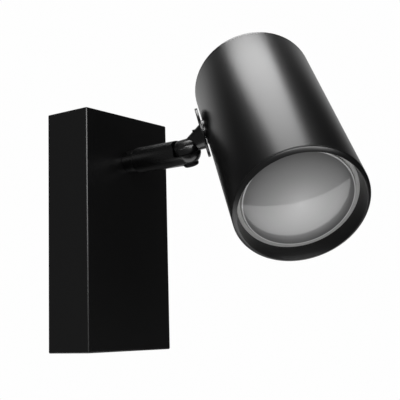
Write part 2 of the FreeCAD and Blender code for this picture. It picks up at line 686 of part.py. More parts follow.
def arm_tube():
    """Round arm: bored for the leads, its outer end half cut away and rounded as a ball."""
    rod = cylinder("arm_rod", "arm_dia / 2", "pivot_reach - neck_length", ("0", "0", "neck_length"))
    doc.recompute()
    heel = doc.addObject("Part::Fillet", "arm_rod_heel")
    heel.Base = rod
    rear = [index for index, edge in enumerate(rod.Shape.Edges, start=1)
            if edge.BoundBox.ZMax < size("neck_length") + 1e-3]
    heel.Edges = [(index, size("arm_heel"), size("arm_heel")) for index in rear]
    tip = solid("Part::Sphere", "arm_tip", {"Radius": "arm_dia / 2"}, ("0", "0", "pivot_reach"))
    lap = block("arm_lap", "2 * arm_dia", "arm_dia", "2 * arm_dia",
                ("-arm_dia", "-" + LAP_FACE, "pivot_reach - shoulder_back"))
    relief = cylinder("arm_relief", "arm_dia / 2 + relief_gap", "arm_dia",
                      ("0", "-" + LAP_FACE, "pivot_reach"), TO_Y)
    thread = cylinder("arm_thread", "nipple_dia / 2", "nipple_grip", ("0", "0", "neck_length"))
    bore = cylinder("arm_lead_bore", "arm_bore / 2",
                    "pivot_reach - neck_length - (pocket_outer + pocket_inner) / 4",
                    ("0", "0", "neck_length"))
    pocket_base = ("0", f"-{LAP_FACE} - pocket_depth", "pivot_reach")
    lead_pocket = ring("arm_lead_pocket", "pocket_outer / 2", "pocket_inner / 2",
                       "pocket_depth + 1", pocket_base, TO_Y)
    hinge_hole = cylinder("arm_hinge_hole", "pivot_screw_dia / 2 + run_clear", "arm_dia",
                          ("0", "-arm_dia", "pivot_reach"), TO_Y)
    recess = cylinder("arm_screw_recess", "pivot_head_dia / 2 + counterbore_clear", "arm_dia",
                      ("0", f"{COUNTERBORE_FLOOR} - arm_dia", "pivot_reach"), TO_Y)
    body = fuse("arm_solid", heel, tip)
    keep(cut("arm_tube", body, lap, relief, thread, bore, lead_pocket, hinge_hole, recess),
         "arm_tube", ARM)


def lap_washer():
    washer = ring("lap_washer", "pocket_inner / 2", "pivot_screw_dia / 2 + run_clear",
                  "lap_washer_sheet", ("0", "-" + LAP_FACE, "pivot_reach"), TO_Y)
    keep(washer, "lap_washer", ARM)


def arm_leads():
    """The three leads inside the arm, from the nipple's mouth to the knuckle."""
    length = f"{NIPPLE_TAIL} + pivot_reach - arm_dia / 2 - relief_gap - 0.5"
    runs = []
    for number, (across, along) in enumerate(bundle_spots("arm_bore"), start=1):
        runs.append(cylinder(f"arm_lead_{number}", "lead_dia / 2", length,
                             (f"{across}", f"{along}", "-" + NIPPLE_TAIL)))
    keep(group("arm_leads", *runs), "arm_leads", ARM)


# ---------------------------------------------------------------- stem

DISC_FACE = "(stem_reach - pad_sheet - run_gap - disc_sheet)"
NUT_FACE = "(stem_reach + head_wall + saddle_sheet + run_gap + stud_washer_sheet)"
FAR = "(2 * stem_reach)"


def knuckle_stem():
    """Head-side half of the knuckle, with the neck that carries the disc."""
    round_end = cylinder("stem_round_end", "arm_dia / 2", "arm_dia", ("0", LAP_FACE, "0"), TO_Y)
    half_rod = cylinder("stem_half_rod", "arm_dia / 2", "arm_dia + 2", ("0", "0", "-arm_dia / 2 - 1"))
    crown = solid("Part::Sphere", "stem_crown", {"Radius": "arm_dia / 2 + crown_margin"})
    tongue = common("stem_tongue", round_end, half_rod, crown)
    lean = Rotation(Vector(1, 0, 0), -size("neck_lean"))
    cone = solid("Part::Cone", "stem_cone", {
        "Radius1": "neck_root_dia / 2",
        "Radius2": f"neck_root_dia / 2 + {FAR} * tan(neck_flare)",
        "Height": FAR,
    }, ("0", "neck_root", "0"), lean)
    past_disc = block("stem_past_disc", f"4 * {FAR}", f"4 * {FAR}", f"2 * {FAR}",
                      (f"-2 * {FAR}", f"-2 * {FAR}", DISC_FACE))
    arm_space = cylinder("stem_arm_space", "arm_dia / 2 + relief_gap", "2 * arm_dia",
                         ("0", f"{LAP_FACE} - 2 * arm_dia", "0"), TO_Y)
    neck = cut("stem_neck", cone, past_disc, arm_space)
    lead_pocket = ring("stem_lead_pocket", "pocket_outer / 2", "pocket_inner / 2", "pocket_depth + 1",
                       ("0", f"{LAP_FACE} - 1", "0"), TO_Y)
    hinge_hole = cylinder("stem_hinge_hole", "pivot_screw_dia / 2", "pivot_screw_grip + 1",
                          ("0", f"{LAP_FACE} - 1", "0"), TO_Y)
    pocket_middle = (size("pocket_outer") + size("pocket_inner")) / 4
    rise = size("stem_offset") - size("lap_gap") / 2 - size("pocket_depth") / 2
    run = size("stem_reach") - size("pad_sheet") - size("run_gap") - size("disc_sheet") - pocket_middle
    bore_lean = Rotation(Vector(1, 0, 0), -math.degrees(math.atan2(rise, run)))
    neck_hole = cylinder("stem_neck_hole", "neck_bore / 2", f"{FAR}",
                         ("0", f"{LAP_FACE} + pocket_depth / 2",
                          "(pocket_outer + pocket_inner) / 4"), bore_lean)
    hole_end = cylinder("stem_hole_end", "disc_dia", f"{FAR}", ("0", "0", DISC_FACE))
    socket = cylinder("stem_stud_socket", "stud_dia / 2", "stud_socket + 1",
                      ("0", "stem_offset", f"{DISC_FACE} - stud_socket"))
    grip_hole = cylinder("stem_grip_hole", "grip_screw_dia / 2", "grip_screw_length",
                         ("0", "grip_screw_top - grip_screw_length", "grip_screw_at"), TO_Y)
    short_hole = cut("stem_short_hole", neck_hole, hole_end)
    solid_stem = fuse("stem_solid", tongue, neck)
    stem = cut("knuckle_stem", solid_stem, lead_pocket, hinge_hole, short_hole, socket, grip_hole)
    keep(stem, "knuckle_stem", STEM)


def pivot_screw():
    """Button-head screw through the arm's half into the stem's half, with its washer."""
    washer_at = f"{COUNTERBORE_FLOOR} - run_gap - spring_sheet"
    washer = ring("pivot_spring_washer", "pivot_head_dia / 2", "pivot_screw_dia / 2", "spring_sheet",
                  ("0", washer_at, "0"), TO_Y)
    keep(washer, "pivot_spring_washer", STEM)
    head = cylinder("pivot_head", "pivot_head_dia / 2", "pivot_head_height",
                    ("0", f"{washer_at} - pivot_head_height", "0"), TO_Y)
    doc.recompute()
    button = doc.addObject("Part::Fillet", "pivot_button")
    button.Base = head
    low = min(edge.BoundBox.YMax for edge in head.Shape.Edges)
    rim = [index for index, edge in enumerate(head.Shape.Edges,
                                              start=1) if edge.BoundBox.YMax < low + 1e-3]
    button.Edges = [(index, 1.2, 1.2) for index in rim]
    shank = cylinder("pivot_shank", "pivot_screw_dia / 2",
                     f"{LAP_FACE} + pivot_screw_grip - ({washer_at})", ("0", washer_at, "0"), TO_Y)
    socket = hexagon("pivot_socket", "2.5", "1.6", ("0", f"{washer_at} - pivot_head_height", "0"), TO_Y)
    keep(cut("pivot_screw", fuse("pivot_solid", button, shank), socket), "pivot_screw", STEM)


def stem_fixings():
    """Disc, hollow stud, stop washer, nut, grip screw and leads on the stem."""
    disc = revolution("mount_disc", [
        ("stud_dia / 2", DISC_FACE),
        ("disc_dia / 2 - disc_round", DISC_FACE),
        ("disc_dia / 2", f"{DISC_FACE} + disc_round"),
        ("disc_dia / 2", f"{DISC_FACE} + disc_sheet - disc_round"),
        ("disc_dia / 2 - disc_round", f"{DISC_FACE} + disc_sheet"),
        ("stud_dia / 2", f"{DISC_FACE} + disc_sheet"),
    ])
    on_stud = STEM * Placement(Vector(0, size("stem_offset"), 0), Rotation())
    keep(disc, "mount_disc", on_stud)
    stud = revolution("swivel_stud", ring_profile("stud_bore / 2", "stud_dia / 2",
                                                  f"{DISC_FACE} - stud_socket",
                                                  f"{NUT_FACE} + stud_nut_height + stud_tail"))
    keep(stud, "swivel_stud", on_stud)
    washer_at = f"{NUT_FACE} - stud_washer_sheet"
    tab_length = "saddle_dia / 2"
    plain = cylinder("stud_washer_disc", "stud_washer_dia / 2", "stud_washer_sheet",
                     ("0", "0", washer_at))
    tab = block("stud_washer_tab", tab_length, "saddle_stop_width", "stud_washer_sheet",
                (f"-{tab_length}", "-saddle_stop_width / 2", washer_at))
    hole = cylinder("stud_washer_hole", "stud_dia / 2", "stud_washer_sheet", ("0", "0", washer_at))
    keep(cut("stud_washer", fuse("stud_washer_solid", plain, tab), hole), "stud_washer", on_stud)
    nut_blank = hexagon("stud_nut_hexagon", "stud_nut_across", "stud_nut_height", ("0", "0", NUT_FACE))
    nut_thread = cylinder("stud_nut_thread", "stud_dia / 2", "stud_nut_height", ("0", "0", NUT_FACE))
    nut = cut("stud_nut", nut_blank, nut_thread)
    keep(nut, "stud_nut", on_stud)
    base = ("0", "grip_screw_top - grip_screw_length", "grip_screw_at")
    shank = cylinder("grip_screw_shank", "grip_screw_dia / 2", "grip_screw_length", base, TO_Y)
    socket = hexagon("grip_screw_socket", "1.3", "1", ("0", "grip_screw_top - 1", "grip_screw_at"),
                     TO_Y)
    keep(cut("lead_grip_screw", shank, socket), "lead_grip_screw", STEM)
    runs = []
    for number, (across, along) in enumerate(bundle_spots("stud_bore"), start=1):
        at = (f"{across}", f"{along}", f"{DISC_FACE}")
        runs.append(cylinder(f"stem_lead_{number}", "lead_dia / 2",
                             f"{NUT_FACE} + stud_nut_height + stud_tail - {DISC_FACE}", at))
    keep(group("stem_leads", *runs), "stem_leads", on_stud)


# ---------------------------------------------------------------- head

HEAD_RADIUS = "(head_dia / 2)"
HEAD_BORE = "(head_dia / 2 - head_wall)"
SKIRT = "(head_dia / 2 - head_wall - skirt_clear)"
CAP_INSIDE = "(cap_sheet - head_length)"


def head_tube():
    """Plain tube between the front ring and the rear cap, with one hole for the stud."""
    body = revolution("head_tube", ring_profile(HEAD_BORE, HEAD_RADIUS, CAP_INSIDE, "-ring_flange"))
    hole = new_sketch(body, "tube_stud_hole", "YZ_Plane", HEAD_BORE + " - 2")
    circle(hole, "0", "-stud_setback", "stud_dia + 2 * run_clear")
    pocket(body, hole, "head_wall + 4")
    keep(body, "head_tube", HEAD)


def saddles():
    """Pad and inner saddle that give the round tube flat faces to turn on."""
    at = ("0", "0", "-stud_setback")
    pad_blank = cylinder("pad_blank", "pad_dia / 2", f"pad_sheet + {HEAD_RADIUS}", at, TO_X)
    tube_space = cylinder("pad_tube_space", HEAD_RADIUS, "2 * pad_dia",
                          ("0", "0", "-stud_setback - pad_dia"))
    pad_hole = cylinder("pad_hole", "stud_dia / 2 + run_clear", "head_dia", at, TO_X)
    keep(cut("saddle_pad", pad_blank, tube_space, pad_hole), "saddle_pad", HEAD)
    flat = f"({HEAD_BORE} - saddle_sheet)"
    blank = cylinder("saddle_blank", "saddle_dia / 2", "saddle_sheet", (flat, "0", "-stud_setback"),
                     TO_X)
    inside = cylinder("saddle_inside", HEAD_BORE, "2 * saddle_dia",
                      ("0", "0", "-stud_setback - saddle_dia"))
    seat = common("saddle_seat", blank, inside)
    rib_height = "(run_gap + stud_washer_sheet)"
    rib_base = (f"{flat} - {rib_height}", "0", "-stud_setback")
    rib_outer = cylinder("saddle_rib_outer", "saddle_dia / 2", f"{rib_height} + 0.2", rib_base, TO_X)
    rib_outer.setExpression("Angle", link("saddle_stop_sector"))
    start = Rotation(Vector(1, 0, 0), -size("saddle_stop_sector") / 2)
    rib_outer.Placement = Placement(rib_outer.Placement.Base, start * TO_X)
    rib_core = cylinder("saddle_rib_core", "stud_nut_across / sqrt(3) + 0.4", f"{rib_height} + 1",
                        rib_base, TO_X)
    rib = cut("saddle_rib", rib_outer, rib_core)
    hole = cylinder("saddle_hole", "stud_dia / 2 + run_clear", "head_dia", at, TO_X)
    keep(cut("inner_saddle", fuse("saddle_solid", seat, rib), hole), "inner_saddle", HEAD)


def rear_cap():
    """Cap with a skirt inside the tube, vent slots and two countersunk screw holes."""
    body = revolution("cap_blank", [
        ("0", "-head_length"),
        (HEAD_RADIUS, "-head_length"),
        (HEAD_RADIUS, CAP_INSIDE),
        (SKIRT, CAP_INSIDE),
        (SKIRT, f"{CAP_INSIDE} + cap_skirt"),
        (f"{SKIRT} - skirt_wall", f"{CAP_INSIDE} + cap_skirt"),
        (f"{SKIRT} - skirt_wall", CAP_INSIDE),
        ("0", CAP_INSIDE),
    ])
    back = -size("head_length") + 1e-3
    round_edges(body, "cap_round",
                lambda edge: edge.BoundBox.ZMax < back and edge.Length > math.pi * size("head_dia") / 3)
    slot = new_sketch(body, "cap_vent", "XY_Plane", "-head_length")
    rectangle(slot, "vent_radius", "0", "vent_length", "vent_width")
    vent = pocket(body, slot)
    pattern = body.newObject("PartDesign::PolarPattern", "cap_vents")
    pattern.Originals = [vent]
    pattern.Axis = (slot, ["N_Axis"])
    pattern.Angle = 360
    pattern.Occurrences = 12
    body.Tip = pattern
    doc.recompute()
    holes = new_sketch(body, "cap_screw_holes", "XY_Plane")
    for side in ("", "-"):
        circle(holes, "0", f"{side}pillar_pitch / 2", "pillar_screw_dia")
    pocket(body, holes)
    sinks = []
    for side in ("", "-"):
        base = ("0", f"{side}pillar_pitch / 2", "-head_length")
        sink = {"Radius1": "pillar_screw_dia", "Radius2": "pillar_screw_dia / 2",
                "Height": "pillar_screw_dia / 2"}
        sinks.append(solid("Part::Cone", f"cap_sink_{len(sinks)}", sink, base))
    keep(cut("rear_cap", body, *sinks), "rear_cap", HEAD)


WELL_FRONT = "(head_dia / 2 - ring_face)"
WELL_BACK = "(head_dia / 2 - ring_face - ring_taper)"
LAMP_HOLE = "(lamp_dia / 2 + lamp_clear)"


def front_ring():
    """Front ring: a band at the rim, a coned well and a shelf for the centring ring."""
    shelf, end = "-seat_depth - seat_height", "-seat_depth - seat_height - seat_shelf"
    body = revolution("front_ring", [
        (HEAD_RADIUS, "-ring_flange"), (HEAD_RADIUS, "-ring_edge"), (f"{HEAD_RADIUS} - ring_edge", "0"),
        (WELL_FRONT, "ring_lip"), (WELL_BACK, "-seat_depth"), (WELL_BACK, shelf), (LAMP_HOLE, shelf),
        (LAMP_HOLE, end), (SKIRT, end), (SKIRT, "-ring_flange")])
    keep(body, "front_ring", HEAD)
    seat = revolution("centring_ring", ring_profile(LAMP_HOLE, WELL_BACK, shelf, "-seat_depth"))
    keep(seat, "centring_ring", HEAD)


def lamp():
    """Reflector lamp: shell, domed frosted lens and two pins."""
    face = "(-lamp_recess)"
    shell = revolution("lamp_shell", [("0", f"{face} - lens_sheet"), ("lamp_dia / 2",
                                                                      f"{face} - lens_sheet"),
                                      ("lamp_dia / 2", f"{face} - lamp_band"),
                                      ("lamp_waist / 2", f"{face} - lamp_length * 0.58"),
                                      ("lamp_base / 2", f"{face} - lamp_length * 0.76"),
                                      ("lamp_base / 2", f"{face} - lamp_length"),
                                      ("0", f"{face} - lamp_length")])
    keep(shell, "lamp_shell", HEAD)
    lens_radius = "(lamp_dia / 2 - lens_margin)"
    ball_radius = f"(({lens_radius} ^ 2 + lens_dome ^ 2) / (2 * lens_dome))"
    disc = cylinder("lens_disc", lens_radius, "lens_sheet + lens_dome",
                    ("0", "0", f"{face} - lens_sheet"))
    ball = solid("Part::Sphere", "lens_ball", {"Radius": ball_radius},
                 ("0", "0", f"{face} + lens_dome - {ball_radius}"))
    keep(common("lamp_lens", disc, ball), "lamp_lens", HEAD)
    base = "-lamp_recess - lamp_length - pin_length"
    pins = []
    for side in ("", "-"):
        at = (f"{side}pin_pitch / 2", "0", base)
        foot = cylinder(f"pin_foot_{len(pins)}", "pin_foot / 2", "pin_length * 0.35", at)
        pin = cylinder(f"pin_stem_{len(pins)}", "pin_dia / 2", "pin_length", at)
        pins.append(fuse(f"lamp_pin_{len(pins)}", foot, pin))
    keep(group("lamp_pins", *pins), "lamp_pins", HEAD)


HOLDER_FRONT = "(-lamp_recess - lamp_length - holder_gap)"
HOLDER_BACK = "(-lamp_recess - lamp_length - holder_gap - holder_height)"


def lampholder():
    """Ceramic twist-lock lampholder on its plate."""
    body = new_body("lampholder")
    outline = new_sketch(body, "holder_outline", "XY_Plane", HOLDER_BACK)
    rectangle(outline, "0", "0", "holder_length", "holder_width")
    pad(body, outline, "holder_height")
    pin_holes = new_sketch(body, "holder_pin_holes", "XY_Plane", HOLDER_FRONT)
    sinks = new_sketch(body, "holder_sinks", "XY_Plane", HOLDER_FRONT)
    drills = new_sketch(body, "holder_drills", "XY_Plane")
    for side in ("", "-"):
        circle(pin_holes, f"{side}pin_pitch / 2", "0", "pin_foot")
        circle(sinks, f"{side}holder_screw_pitch / 2", "0", "2 * holder_screw_dia")
        circle(drills, f"{side}holder_screw_pitch / 2", "0", "holder_screw_dia")
    pocket(body, pin_holes, "pin_length + 0.5")
    pocket(body, sinks, "holder_sink")
    pocket(body, drills)
    keep(body, "lampholder", HEAD)


def holder_plate():
    """Steel plate behind the lampholder, held off the rear cap by two pillars."""
    body = new_body("holder_plate")
    outline = new_sketch(body, "plate_outline", "XY_Plane", HOLDER_BACK + " - plate_sheet")
    rectangle(outline, "0", "0", "plate_length", "plate_width")
    pad(body, outline, "plate_sheet")
    holes = new_sketch(body, "plate_holes", "XY_Plane")
    circle(holes, "0", "0", "plate_hole")
    circle(holes, "head_earth_x", "head_earth_y", "pillar_screw_dia")
    for side in ("", "-"):
        circle(holes, f"{side}holder_screw_pitch / 2", "0", "holder_screw_dia")
        circle(holes, "0", f"{side}pillar_pitch / 2", "pillar_screw_dia")
    pocket(body, holes)
    keep(body, "holder_plate", HEAD)


def head_frame_fixings():
    """Pillars and the screws of the plate, the cap and the lampholder."""
    pillars, plate_screws, cap_screws, holder_screws = [], [], [], []
    depth = "6"
    for side in ("", "-"):
        number = len(pillars)
        across = f"{side}pillar_pitch / 2"
        low = ("0", across, CAP_INSIDE)
        length = f"{HOLDER_BACK} - plate_sheet - {CAP_INSIDE}"
        post = cylinder(f"pillar_{number}_post", "pillar_dia / 2", length, low)
        lower = cylinder(f"pillar_{number}_lower", "pillar_screw_dia / 2", depth, low)
        upper = cylinder(f"pillar_{number}_upper", "pillar_screw_dia / 2", depth,
                         ("0", across, f"{HOLDER_BACK} - plate_sheet - {depth}"))
        pillars.append(cut(f"pillar_{number}", post, lower, upper))
        shank = cylinder(f"plate_screw_{number}_shank", "pillar_screw_dia / 2",
                         f"{depth} + plate_sheet",
                         ("0", across, f"{HOLDER_BACK} - plate_sheet - {depth}"))
        head = cylinder(f"plate_screw_{number}_head", "0.9 * pillar_screw_dia", "1.8",
                        ("0", across, HOLDER_BACK))
        plate_screws.append(fuse(f"plate_screw_{number}", shank, head))
        cap_shank = cylinder(f"cap_screw_{number}_shank", "pillar_screw_dia / 2",
                             f"{depth} + cap_sheet", ("0", across, "-head_length"))
        cone = {"Radius1": "pillar_screw_dia", "Radius2": "pillar_screw_dia / 2",
                "Height": "pillar_screw_dia / 2"}
        cap_head = solid("Part::Cone", f"cap_screw_{number}_head", cone, ("0", across, "-head_length"))
        cap_socket = hexagon(f"cap_screw_{number}_socket", "2", "1.2", ("0", across, "-head_length"))
        cap_screws.append(cut(f"cap_screw_{number}",
                              fuse(f"cap_screw_{number}_solid", cap_shank, cap_head), cap_socket))
        beside = f"{side}holder_screw_pitch / 2"
        seat = f"{HOLDER_FRONT} - holder_sink"
        long_shank = cylinder(f"holder_screw_{number}_shank", "holder_screw_dia / 2",
                              "holder_height - holder_sink + plate_sheet + 1.5",
                              (beside, "0", f"{HOLDER_BACK} - plate_sheet - 1.5"))
        long_head = cylinder(f"holder_screw_{number}_head", "0.9 * holder_screw_dia", "1.6",
                             (beside, "0", seat))
        holder_screws.append(fuse(f"holder_screw_{number}", long_shank, long_head))
    keep(group("pillars", *pillars), "pillars", HEAD)
    keep(group("plate_screws", *plate_screws), "plate_screws", HEAD)
    keep(group("cap_screws", *cap_screws), "cap_screws", HEAD)
    keep(group("holder_screws", *holder_screws), "holder_screws", HEAD)


def head_wiring():
    """Earth terminal on the holder plate and the leads inside the head."""
    behind = ("lamp_recess", "lamp_length", "holder_gap", "holder_height", "plate_sheet")
    plate_back = -sum(size(name) for name in behind)
    over = Placement(Vector(size("head_earth_x"), size("head_earth_y"), plate_back),
                     Rotation(Vector(1, 0, 0), 180))
    tag_ring = ring("head_tag_ring", "3.2", "pillar_screw_dia / 2", "0.8")
    barrel_outside = cylinder("head_tag_barrel_out", "lead_dia / 2 + 0.5", "5",
                              ("2.4", "0", "0.8 + lead_dia / 2"), TO_X)
    barrel_inside = cylinder("head_tag_barrel_in", "lead_dia / 2", "5",
                             ("2.9", "0", "0.8 + lead_dia / 2"), TO_X)
    tag = cut("head_earth_tag", fuse("head_tag_solid", tag_ring, barrel_outside), barrel_inside)
    keep(tag, "head_earth_tag", HEAD * over)
    screw = pan_screw("head_earth_screw", "pillar_screw_dia", "4.4", "1.8", "plate_sheet + 0.8")
    keep(screw, "head_earth_screw", HEAD * over * Placement(Vector(0, 0, 0.8), Rotation()))
    names = ("stem_reach", "head_wall", "saddle_sheet", "run_gap", "stud_washer_sheet",
             "stud_nut_height", "stud_tail")
    mouth = sum(size(name) for name in names) + LEAD_GAP
    stem_in_head = HEAD.inverse() * STEM * Placement(Vector(0, size("stem_offset"), 0), Rotation())
    starts = [stem_in_head.multVec(Vector(*spot, mouth)) for spot in bundle_spots("stud_bore")]
    starts.sort(key=lambda start: start.z)
    starts[:2] = sorted(starts[:2], key=lambda start: start.y)
    for name, start, beside in zip(("head_live_lead", "head_neutral_lead"), starts, (-2.5, 2.5)):
        lead(name, [start, (1, beside, start.z), (1, beside, plate_back + size("plate_sheet"))], HEAD)
    start, tag_level = starts[2], plate_back - 0.8 - size("lead_dia") / 2
    across = size("head_earth_y")
    route = [start, (start.x - 7, start.y, start.z), (start.x - 16, across, tag_level),
             (size("head_earth_x") + 2.9, across, tag_level)]
    lead("head_earth_lead", route, HEAD)


# ---------------------------------------------------------------- build and export


def main():
    for make in (box_cover, wall_bracket, swivel_plate, cover_screws, inlet_grommet,
                 terminal_block, terminal_metal, box_fixings, box_leads,
                 arm_fixings, arm_tube, lap_washer, arm_leads,
                 knuckle_stem, pivot_screw, stem_fixings,
                 head_tube, saddles, rear_cap, front_ring, lamp,
                 lampholder, holder_plate, head_frame_fixings, head_wiring):
        make()
    doc.recompute()
    failed = [item.Name for item in doc.Objects if {"Invalid", "Error"} & set(item.State)]
    if failed:
        raise RuntimeError(f"objects failed: {failed}")
    for node in nodes:
        if node.Shape.isNull() or not node.Shape.isValid() or not node.Shape.Solids:
            raise RuntimeError(f"{node.Label} has no valid solid")
    os.makedirs("parts", exist_ok=True)
    for node in nodes:
        node.Shape.exportStep(f"parts/{node.Label}.step")
        print(node.Label, len(node.Shape.Solids), round(node.Shape.Volume, 1))


main()
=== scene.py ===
"""Looks of the pivoting spotlight wall light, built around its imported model.

Each sub-assembly is a class. Its fields are real sizes in millimetres, its methods make the
pieces that show and dress the rest. Three frames are used besides the object's own: the arm's,
the stem's and the head's, each with Z along that piece.
"""

import logging
import math
from dataclasses import dataclass
from enum import Enum
from typing import Callable, Optional, Sequence

import bmesh
import bpy
from mathutils import Matrix, Vector


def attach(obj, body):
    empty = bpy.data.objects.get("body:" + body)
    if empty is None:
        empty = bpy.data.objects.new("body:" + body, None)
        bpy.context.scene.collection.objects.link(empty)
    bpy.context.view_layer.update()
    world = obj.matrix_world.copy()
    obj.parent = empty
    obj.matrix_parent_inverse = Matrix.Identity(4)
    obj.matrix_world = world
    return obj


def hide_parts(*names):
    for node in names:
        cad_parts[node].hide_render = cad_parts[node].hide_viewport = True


log = logging.getLogger("spotlight")

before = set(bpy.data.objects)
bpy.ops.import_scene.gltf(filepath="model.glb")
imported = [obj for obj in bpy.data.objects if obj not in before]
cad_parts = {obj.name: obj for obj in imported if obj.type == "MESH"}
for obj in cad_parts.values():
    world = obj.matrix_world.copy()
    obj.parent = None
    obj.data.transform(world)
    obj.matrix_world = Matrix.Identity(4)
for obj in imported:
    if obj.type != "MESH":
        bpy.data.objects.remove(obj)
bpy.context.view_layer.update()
NODES: dict[str, bpy.types.Object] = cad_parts

MM = 0.001
WAVE_RADIANS = 20.0      # a wave texture turns through this for each unit of its scale
NOISE_RANGE = (0.3, 0.7)  # a noise texture seldom leaves this range
SPREAD_RANGE = (0.25, 0.75)  # the part of a pattern that moves the roughness
Point = tuple[float, float, float]
Settings = dict[object, object]


# ------------------------------------------------------------------ frames and helpers


def place(origin: Point, along_x: Point, along_z: Point) -> Matrix:
    """The matrix of a frame.

    Args:
        origin: the frame's origin, in millimetres.
        along_x: its X axis.
        along_z: its Z axis.

    Returns:
        The matrix that takes the frame's coordinates, in metres, to the object's.
    """
    x_axis, z_axis = Vector(along_x).normalized(), Vector(along_z).normalized()
    y_axis = z_axis.cross(x_axis).normalized()
    turned_frame = Matrix((x_axis, y_axis, z_axis)).transposed().to_4x4()
    return Matrix.Translation(Vector(origin) * MM) @ turned_frame


WALL = Matrix.Identity(4)
ARM = place((0, -26.7, 36.0), (0.902585, 0, 0.430511), (0, -1, 0))
STEM = place((0, -65.1, 36.0), (0.730210, 0.587785, 0.348293), (0.530526, -0.809017, 0.253049))
DISC = STEM @ Matrix.Translation((0, 7.0 * MM, 0))
HEAD = place((-17.7706, -138.6626, 0.0990), (-0.530526, 0.809017, -0.253049),
             (-0.48228, -0.53359, -0.69477))


def linear(code: str) -> tuple[float, float, float, float]:
    """Turns an sRGB hex colour into the linear values that a shader reads.

    Args:
        code: the colour as #rrggbb.

    Returns:
        Linear red, green and blue, and an alpha of 1.
    """
    values = [int(code[at:at + 2], 16) / 255 for at in (1, 3, 5)]
    red, green, blue = (value / 12.92 if value <= 0.04045 else ((value + 0.055) / 1.055) ** 2.4
                        for value in values)
    return red, green, blue, 1.0


def add(tree: bpy.types.NodeTree, kind: str, settings: Optional[Settings] = None,
        links: Optional[dict[object, bpy.types.NodeSocket]] = None) -> bpy.types.Node:
    """Adds a shader node with its settings and links.

    Args:
        tree: the tree that gets the node.
        kind: the node's type without its ShaderNode prefix.
        settings: values by input name or number, or by attribute name.
        links: output sockets by the input name or number that they feed.

    Returns:
        The new node.
    """
    node = tree.nodes.new("ShaderNode" + kind)
    for key, value in (settings or {}).items():
        if isinstance(key, str) and hasattr(node, key):
            setattr(node, key, value)
        else:
            node.inputs[key].default_value = value
    for key, socket in (links or {}).items():
        tree.links.new(socket, node.inputs[key])
    return node


def ramp(tree: bpy.types.NodeTree, factor: bpy.types.NodeSocket,
         stops: Sequence[tuple[float, str]], steps: str = "LINEAR") -> bpy.types.NodeSocket:
    """Adds a colour ramp.

    Args:
        tree: the tree that gets it.
        factor: what it reads.
        stops: positions and sRGB hex colours.
        steps: how it goes from stop to stop.

    Returns:
        The ramp's colour output.
    """
    node = add(tree, "ValToRGB", links={"Fac": factor})
    node.color_ramp.interpolation = steps
    elements = node.color_ramp.elements
    while len(elements) < len(stops):
        elements.new(0.5)
    for element, (position, code) in zip(elements, stops):
        element.position = position
        element.color = linear(code)
    return node.outputs["Color"]


def per_mm(millimetres: float) -> float:
    """The texture scale at which a pattern repeats about every so many millimetres."""
    return 1 / (millimetres * MM)


def wave_per_mm(millimetres: float) -> float:
    """The wave texture scale at which one radian of the wave takes so many millimetres."""
    return per_mm(millimetres) / WAVE_RADIANS


def choose(piece: bpy.types.Object, wanted: Callable[[Vector], bool]) -> None:
    """Selects, in edit mode, just the vertices that a test picks.

    Args:
        piece: the piece that is being edited.
        wanted: says yes or no to a vertex's place, in millimetres.
    """
    bpy.ops.mesh.select_all(action="DESELECT")
    shape = bmesh.from_edit_mesh(piece.data)
    for vertex in shape.verts:
        vertex.select = wanted(vertex.co / MM)
    shape.select_flush(True)
    bmesh.update_edit_mesh(piece.data)


def alone(piece: bpy.types.Object) -> None:
    """Makes a piece the only one that is selected, and the active one."""
    bpy.ops.object.select_all(action="DESELECT")
    piece.select_set(True)
    bpy.context.view_layer.objects.active = piece


def finish_mesh(piece: bpy.types.Object, name: str, at: Matrix, edge: float = 0.0,
                crease: float = 35.0) -> bpy.types.Object:
    """Names a piece, breaks its sharp edges, puts its place in its mesh and smooths it.

    Args:
        piece: the piece as it was modelled, in its own frame.
        name: its name.
        at: the frame that it was modelled in.
        edge: how far its sharp edges are rounded, in millimetres.
        crease: faces that meet at less than this angle are shaded as one surface.

    Returns:
        The same piece.
    """
    alone(piece)
    piece.name = piece.data.name = name
    if edge:
        rounding = piece.modifiers.new("edges", "BEVEL")
        rounding.width = edge * MM
        rounding.segments = 3
        rounding.limit_method = "ANGLE"
        rounding.angle_limit = math.radians(crease)
        bpy.ops.object.modifier_apply(modifier=rounding.name)
    piece.matrix_world = at
    bpy.ops.object.transform_apply(location=True, rotation=True, scale=True)
    bpy.ops.object.shade_smooth_by_angle(angle=math.radians(crease))
    return piece


